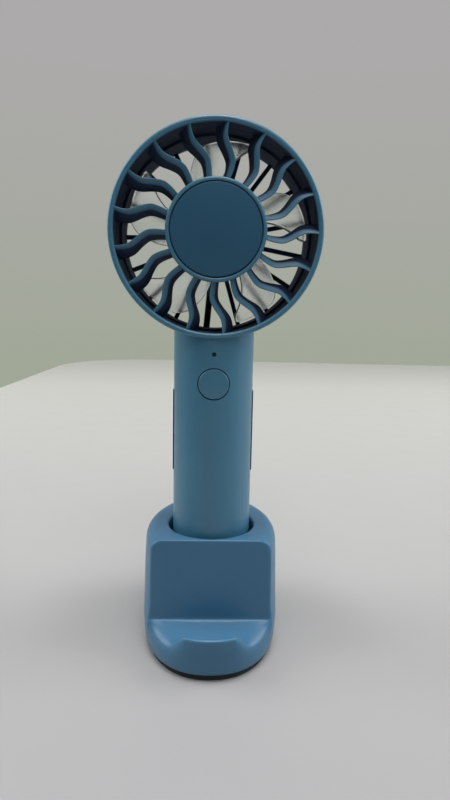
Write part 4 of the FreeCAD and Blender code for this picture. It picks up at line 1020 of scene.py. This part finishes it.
@dataclass
class Impeller:
    """Five broad swept blades on a hub cup."""

    blades: int = 5
    first_tip: float = 82.0
    root: float = 16.2
    tip: float = 38.6
    root_span: float = 34.0
    tip_span: float = 37.0
    sweep: float = 22.0
    front: float = -7.0
    back: float = 8.0
    thickness: float = 1.2
    camber: float = 2.0
    hub: float = 17.0
    hub_wall: float = 1.5
    hub_face: float = -12.0
    hub_edge: float = 1.0
    corner: float = 0.16
    # the tip's corners round off from this share of the half chord, over this share squared
    corner_from: float = 0.7
    corner_run: float = 0.09
    sweep_power: float = 1.5
    edge: float = 0.32
    cells: int = 26

    def blade(self) -> Workpiece:
        """One blade: a grid pulled to its swept, cambered place and thickened."""
        sheet = Workpiece("blade", bpy.ops.mesh.primitive_grid_add, x_subdivisions=self.cells,
                          y_subdivisions=self.cells, size=2 * MM)

        def follow(place: Vector) -> Vector:
            """Carry a point of the flat square to its place on the blade."""
            out, across = (place.x + 1) / 2, place.y
            # rounded corners at the tip
            past = max(0.0, abs(across) - self.corner_from)
            out -= self.corner * past ** 2 / self.corner_run * out ** 2
            radius = self.root + out * (self.tip - self.root)
            span = self.root_span + out * (self.tip_span - self.root_span)
            centre = self.first_tip + self.sweep * (1 - max(out, 0.0) ** self.sweep_power)
            half = radius * math.tan(math.radians(span / 2))
            middle, reach = (self.front + self.back) / 2, (self.back - self.front) / 2
            chord = Vector((reach, half)).normalized()
            bulge = self.camber * (1 - across ** 2)
            along = middle + reach * across - bulge * chord.y
            aside = half * across + bulge * chord.x
            true_radius = math.hypot(radius, aside)
            turn = centre + math.degrees(math.atan2(aside, radius))
            return Axis.FAN.place(min(radius, true_radius), along, turn) / MM

        sheet.shape(follow)
        sheet.modify("SOLIDIFY", thickness=self.thickness * MM, offset=0.0)
        sheet.modify("BEVEL", width=self.edge * MM, segments=2, limit_method="ANGLE",
                     angle_limit=math.radians(CREASE))
        return sheet.close()

    def build(self) -> None:
        """Model and dress the impeller."""
        blade = self.blade()
        copies = [blade.copy(f"blade_{index}").swing(Axis.FAN, index * FULL_TURN / self.blades)
                  for index in range(1, self.blades)]
        inner = self.hub - self.hub_wall
        hub = turned("impeller_moulding", Axis.FAN, eased([
            (0.0, self.hub_face, 0.0), (self.hub, self.hub_face, self.hub_edge),
            (self.hub, self.back, EASED), (inner, self.back, EASED),
            (inner, self.hub_face + self.hub_wall, 0.0),
            (0.0, self.hub_face + self.hub_wall, 0.0)]), HUB_STEPS)
        hub.gather([blade, *copies]).smooth(CREASE)
        fit(hub, "rotor", Slot.IMPELLER, Finish.MILKY_STYRENE, "impeller")


# ----------------------------------------------------------------------------------------------
# Handle
# ----------------------------------------------------------------------------------------------
@dataclass
class PowerButton:
    """Round push button on the flange that holds it in."""

    radius: float = 6.5
    face: float = -17.7
    flange_radius: float = 7.8
    flange_face: float = -12.4
    flange_back: float = -11.7

    def build(self) -> None:
        """Model and dress the button."""
        button = turned("button_cap", Axis.BUTTON, eased([
            (0.0, self.face, 0.0), (self.radius, self.face, SOFT),
            (self.radius, self.flange_face, 0.0),
            (self.flange_radius, self.flange_face, TOUCHED),
            (self.flange_radius, self.flange_back, TOUCHED), (0.0, self.flange_back, 0.0)]),
            HUB_STEPS)
        fit(button.smooth(), "button", Slot.CAP, Finish.SATIN_ABS, "power_button")


@dataclass
class CaseScrews:
    """Two cross-recess screws sunk in the handle's back."""

    heights: Pair = (16.3, 96.2)
    shank: Pair = (7.0, 2.0)
    shank_radius: float = 1.0
    head_radius: float = 1.9
    head_front: float = 15.6
    head_back: float = 16.8
    head_edge: float = 0.5
    cross: float = 2.3
    cross_wide: float = 0.55
    cross_deep: float = 0.7

    def screw(self, name: str, height: float, length: float) -> Workpiece:
        """One screw, head towards the back."""
        point = self.head_front - length
        blank = turned(name, Axis.FAN, eased([
            (0.0, point, 0.0), (self.shank_radius, point, EASED),
            (self.shank_radius, self.head_front, 0.0),
            (self.head_radius, self.head_front, TOUCHED),
            (self.head_radius, self.head_back, self.head_edge), (0.0, self.head_back, 0.0)]),
            SCREW_STEPS)
        lift = (height - Axis.FAN.value[0][2]) * MM
        blank.body.data.transform(Matrix.Translation((0, 0, lift)))
        place = Vector((0, self.head_back, height)) * MM
        for wide, tall in ((self.cross, self.cross_wide), (self.cross_wide, self.cross)):
            bar = Workpiece("cross_bar", bpy.ops.mesh.primitive_cube_add, size=1.0,
                            location=place, scale=(wide * MM, 2 * self.cross_deep * MM, tall * MM))
            blank.carve(bar)
        return blank

    def build(self) -> None:
        """Model and dress both screws."""
        first, second = (self.screw("case_screw_pair", height, length)
                         for height, length in zip(self.heights, self.shank))
        first.gather([second]).smooth()
        fit(first, "fan", Slot.STEEL, Finish.ZINC_STEEL, "case_screws")


@dataclass
class ChargingSocket:
    """Oval steel shell with its contact tongue, open at the handle's back."""

    height: float = 110.2
    wide: float = 9.0
    thick: float = 3.2
    wall: float = 0.35
    inside: float = 8.4
    mouth: float = 17.1
    tongue_wide: float = 6.3
    tongue_thick: float = 0.7
    tongue_short: float = 1.6
    tongue_edge: float = 0.18
    contacts: int = 6
    contact_pitch: float = 0.9
    contact_wide: float = 0.4
    contact_proud: float = 0.1
    # the contacts' length and middle, as shares of the tongue's length
    contact_long: float = 0.7
    contact_middle: float = 0.55
    # a little less than half round, so that each end keeps a flat
    end_round: float = 0.999
    end_steps: int = 10

    def oval(self, name: str, shrink: float, start: float, stop: float) -> Workpiece:
        """A flat-sided oval bar along the socket."""
        wide, thick = self.wide / 2 - shrink, self.thick / 2 - shrink
        end = thick * self.end_round
        section = eased([(-wide, -thick, end), (wide, -thick, end), (wide, thick, end),
                         (-wide, thick, end)], self.end_steps)
        return prism(name, [Vector((x, start, self.height + z)) * MM for x, z in section],
                     Vector((0, (stop - start) * MM, 0)))

    def build(self) -> None:
        """Model and dress the socket."""
        shell = self.oval("charging_socket_shell", 0.0, self.inside, self.mouth)
        shell.carve(self.oval("socket_room", self.wall, self.inside + 2 * self.wall,
                              self.mouth + self.wall))
        shell.close().smooth()
        fit(shell, "fan", Slot.STEEL, Finish.ZINC_STEEL, "usb_socket")
        length = self.mouth - self.tongue_short - self.inside
        tongue = Workpiece("charging_socket_tongue", bpy.ops.mesh.primitive_cube_add, size=1.0,
                           location=Vector((0, self.inside + length / 2, self.height)) * MM,
                           scale=Vector((self.tongue_wide, length, self.tongue_thick)) * MM)
        tongue.modify("BEVEL", width=self.tongue_edge * MM, segments=3)
        fit(tongue.smooth(), "fan", Slot.DARK, Finish.DARK_NYLON)
        strips = [Workpiece(f"contact_{index}", bpy.ops.mesh.primitive_cube_add, size=1.0,
                            location=Vector(((index - (self.contacts - 1) / 2)
                                             * self.contact_pitch,
                                             self.inside + length * self.contact_middle,
                                             self.height)) * MM,
                            scale=Vector((self.contact_wide, length * self.contact_long,
                                          self.tongue_thick + self.contact_proud)) * MM)
                  for index in range(self.contacts)]
        strips[0].gather(strips[1:])
        strips[0].body.name = "charging_socket_contacts"
        fit(strips[0], "fan", Slot.BRASS, Finish.BRONZE)


# ----------------------------------------------------------------------------------------------
# Pieces that keep the part's own solids
# ----------------------------------------------------------------------------------------------
KEPT: dict[Finish, tuple[str, ...]] = {
    Finish.DOCK_ABS: ("dock_body",),
    Finish.SATIN_ABS: ("bottom_cap", "power_button"),
    Finish.DRUM_ABS: ("front_shell", "rear_shell", "front_grille", "rear_grille"),
    Finish.DEEP_ABS: ("grille_cap",),
    Finish.SOFT_GRIP: ("grip_strip_left", "grip_strip_right"),
    Finish.FOOT_RUBBER: ("dock_foot_pad",),
    Finish.DARK_NYLON: ("dock_base_plate", "battery_cradle", "tact_switch", "switch_plunger"),
    Finish.MILKY_STYRENE: ("impeller",),
    Finish.SMOKED_ACRYLIC: ("led_lens", "led_chip"),
    Finish.ZINC_STEEL: ("dock_screws", "case_screws", "rotor_yoke", "motor_shaft", "usb_socket"),
    Finish.FERRITE: ("magnet_ring", "motor_stator"),
    Finish.COPPER_WIRE: ("motor_windings",),
    Finish.BRONZE: ("front_bearing", "rear_bearing"),
    Finish.SOLDER_MASK: ("motor_board", "control_board", "charging_board"),
    Finish.SHRINK_SLEEVE: ("battery_cell",),
    Finish.PVC: ("battery_wires", "board_wires", "motor_wires"),
}


def dress_kept(nodes: dict[str, bpy.types.Object]) -> None:
    """Give every solid of the part its finish, whether it stays in view or not."""
    for finish, names in KEPT.items():
        for name in names:
            finish.dress(nodes[name])
    bare = sorted(set(nodes) - {name for names in KEPT.values() for name in names})
    LOG.info("%d solids dressed, bare: %s", len(nodes) - len(bare), bare or "none")


# ----------------------------------------------------------------------------------------------
# Studio
# ----------------------------------------------------------------------------------------------
@dataclass(frozen=True)
class Lamp:
    """A square soft lamp: its place and side in metres, its power in watts, its light's colour."""

    name: str
    place: Corner
    side: float
    power: float
    colour: str = "#FFFFFF"

    def hang(self, aim: Vector) -> None:
        """Hang the lamp so that it faces a point in metres."""
        place = Vector(self.place)
        bpy.ops.object.light_add(type="AREA", location=place)
        lamp = bpy.context.active_object
        lamp.name = self.name
        lamp.rotation_euler = (aim - place).to_track_quat("-Z", "Y").to_euler()
        lamp.data.shape = "SQUARE"
        lamp.data.size = self.side
        lamp.data.energy = self.power
        lamp.data.color = linear(self.colour)[:3]


@dataclass
class Studio:
    """Pale table and wall, soft lamps and the camera."""

    # painted light: the table's colour brightens from near to far, a painted sheen towards its far
    # edge
    table_near: str = "#A8A6A5"
    table_far_painted_sheen: str = "#D6D6CC"
    table_painted_sheen_fade: Pair = (-0.1, 0.8)
    wall_low: str = "#A1A898"
    wall_high: str = "#ACAAAA"
    wall_rise: Pair = (-0.1, 0.35)
    glow_front: str = "#2C2F30"
    glow_back: str = "#AAACA8"
    glow_rise: Pair = (0.0, 0.5)
    sheen_front: str = "#4C504F"
    sheen_rise: Pair = (-0.7, 0.0)
    ceiling: str = "#F2F4F6"
    ceiling_rise: Pair = (0.72, 0.88)
    seen_through: str = "#C6CAC3"
    lit: Corner = (0.0, 0.0, 0.12)
    lamps: Sequence[Lamp] = (Lamp("overhead", (0.05, -0.2, 2.0), 0.8, 21.0),
                             Lamp("left_side", (-1.3, 0.2, 0.9), 1.0, 13.0, "#F2F6FF"),
                             Lamp("right_side", (1.3, 0.15, 0.9), 1.0, 14.0, "#F4F6FF"),
                             Lamp("front_fill", (0.1, -0.95, 1.4), 0.7, 6.0))
    table_edge: float = 1300.0
    table_left: float = 345.0
    table_corner: float = 190.0
    table_turn: float = 90.0
    table_far_right: float = 1500.0
    table_front: float = 1500.0
    table_gloss: Pair = (0.42, 0.52)
    table_gloss_patch: float = 30.0
    table_grain: float = 2.0
    table_relief: float = 0.01
    focal: float = 585.0
    picture_long: float = 800.0
    sensor: float = 36.0
    eye: tuple[float, float, float] = (-2.424, -263.11, 154.30)
    pitch: float = 0.1658
    yaw: float = 0.0299
    roll: float = 0.0195
    clip: Pair = (0.01, 20.0)

    def table(self) -> None:
        """The pale surface that the dock stands on, with its far edge rounded off."""
        outline = eased([(-self.table_left, self.table_edge, self.table_corner),
                         (self.table_far_right, self.table_edge - self.table_turn, 0.0),
                         (self.table_far_right, -self.table_front, 0.0),
                         (-self.table_left - self.table_turn, -self.table_front, 0.0)], 16)
        top = outline_blank("table", [Vector((x, y, 0)) * MM for x, y in outline], True)
        top.close()
        recipe = Recipe("matt_laminate_table_painted_sheen")
        back = recipe.add("ShaderNodeSeparateXYZ", {"Vector": recipe.place}).outputs["Y"]
        # painted light: the colour brightens towards the far edge, a painted sheen where the table
        # catches more of the wall's light
        recipe.feed(Base_Color=recipe.blend(recipe.between(back, 0.0, 1.0, *self.table_painted_sheen_fade),
                                            self.table_near, self.table_far_painted_sheen),
                    Roughness=recipe.between(recipe.grain(self.table_gloss_patch),
                                             *self.table_gloss))
        recipe.relief(recipe.grain(self.table_grain), self.table_relief)
        top.body.data.materials.append(recipe.material)

    def room(self) -> None:
        """The room's pale walls, which are brighter behind the object than in front of it."""
        world = bpy.data.worlds.new("room")
        bpy.context.scene.world = world
        world.use_nodes = True
        tree = world.node_tree

        def blend(amount: bpy.types.NodeSocket, first: bpy.types.NodeSocket | str,
                  second: bpy.types.NodeSocket | str) -> bpy.types.NodeSocket:
            """Two colours, each a socket or an sRGB hex code, mixed by an amount."""
            mix = tree.nodes.new("ShaderNodeMix")
            mix.data_type = "RGBA"
            tree.links.new(amount, mix.inputs["Factor"])
            for name, colour in (("A", first), ("B", second)):
                if isinstance(colour, str):
                    mix.inputs[name].default_value = linear(colour)
                else:
                    tree.links.new(colour, mix.inputs[name])
            return mix.outputs["Result"]

        def ramp(amount: bpy.types.NodeSocket, start: float, end: float) -> bpy.types.NodeSocket:
            """How far an amount is from a start to an end."""
            made = tree.nodes.new("ShaderNodeMapRange")
            made.inputs["From Min"].default_value = start
            made.inputs["From Max"].default_value = end
            tree.links.new(amount, made.inputs["Value"])
            return made.outputs["Result"]

        parts = tree.nodes.new("ShaderNodeSeparateXYZ")
        tree.links.new(tree.nodes.new("ShaderNodeTexCoord").outputs["Generated"],
                       parts.inputs["Vector"])
        back, height = parts.outputs["Y"], parts.outputs["Z"]
        walls = blend(ramp(height, *self.wall_rise), self.wall_low, self.wall_high)
        glow = blend(ramp(back, *self.glow_rise), self.glow_front, self.glow_back)
        sheen = blend(ramp(back, *self.sheen_rise), self.sheen_front, walls)
        sheen = blend(ramp(height, *self.ceiling_rise), sheen, self.ceiling)
        path = tree.nodes.new("ShaderNodeLightPath").outputs
        light = blend(path["Is Glossy Ray"], glow, sheen)
        light = blend(path["Is Transmission Ray"], light, self.seen_through)
        light = blend(path["Is Camera Ray"], light, walls)
        tree.links.new(light, tree.nodes["Background"].inputs["Color"])

    def camera(self) -> None:
        """The camera at the viewing angle."""
        forward = Vector((math.sin(self.yaw) * math.cos(self.pitch),
                          math.cos(self.yaw) * math.cos(self.pitch), -math.sin(self.pitch)))
        right = Vector((math.cos(self.yaw), -math.sin(self.yaw), 0.0))
        up = right.cross(forward)
        cosine, sine = math.cos(self.roll), math.sin(self.roll)
        across, above = right * cosine + up * sine, up * cosine - right * sine
        bpy.ops.object.camera_add()
        camera = bpy.context.active_object
        turn = Matrix((across, above, -forward)).transposed().to_4x4()
        camera.matrix_world = Matrix.Translation(Vector(self.eye) * MM) @ turn
        camera.data.sensor_fit = "AUTO"
        camera.data.sensor_width = self.sensor
        camera.data.lens = self.focal * self.sensor / self.picture_long
        camera.data.clip_start, camera.data.clip_end = self.clip
        bpy.context.scene.camera = camera

    def build(self) -> None:
        """Set everything up."""
        self.table()
        for lamp in self.lamps:
            lamp.hang(Vector(self.lit))
        self.room()
        self.camera()
        bpy.context.scene.view_settings.view_transform = "Standard"


def main() -> None:
    """Load the frame, build every piece round it and set the studio."""
    logging.basicConfig(level=logging.INFO, format="%(name)s %(message)s")
    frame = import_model()
    dress_kept(frame["nodes"])
    for assembly in (Dock(), FrontGrille(), RearGrille(), Impeller(), PowerButton(),
                     CaseScrews(), ChargingSocket()):
        assembly.build()
        LOG.info("built %s", type(assembly).__name__)
    Studio().build()


if __name__ == "__main__":
    main()
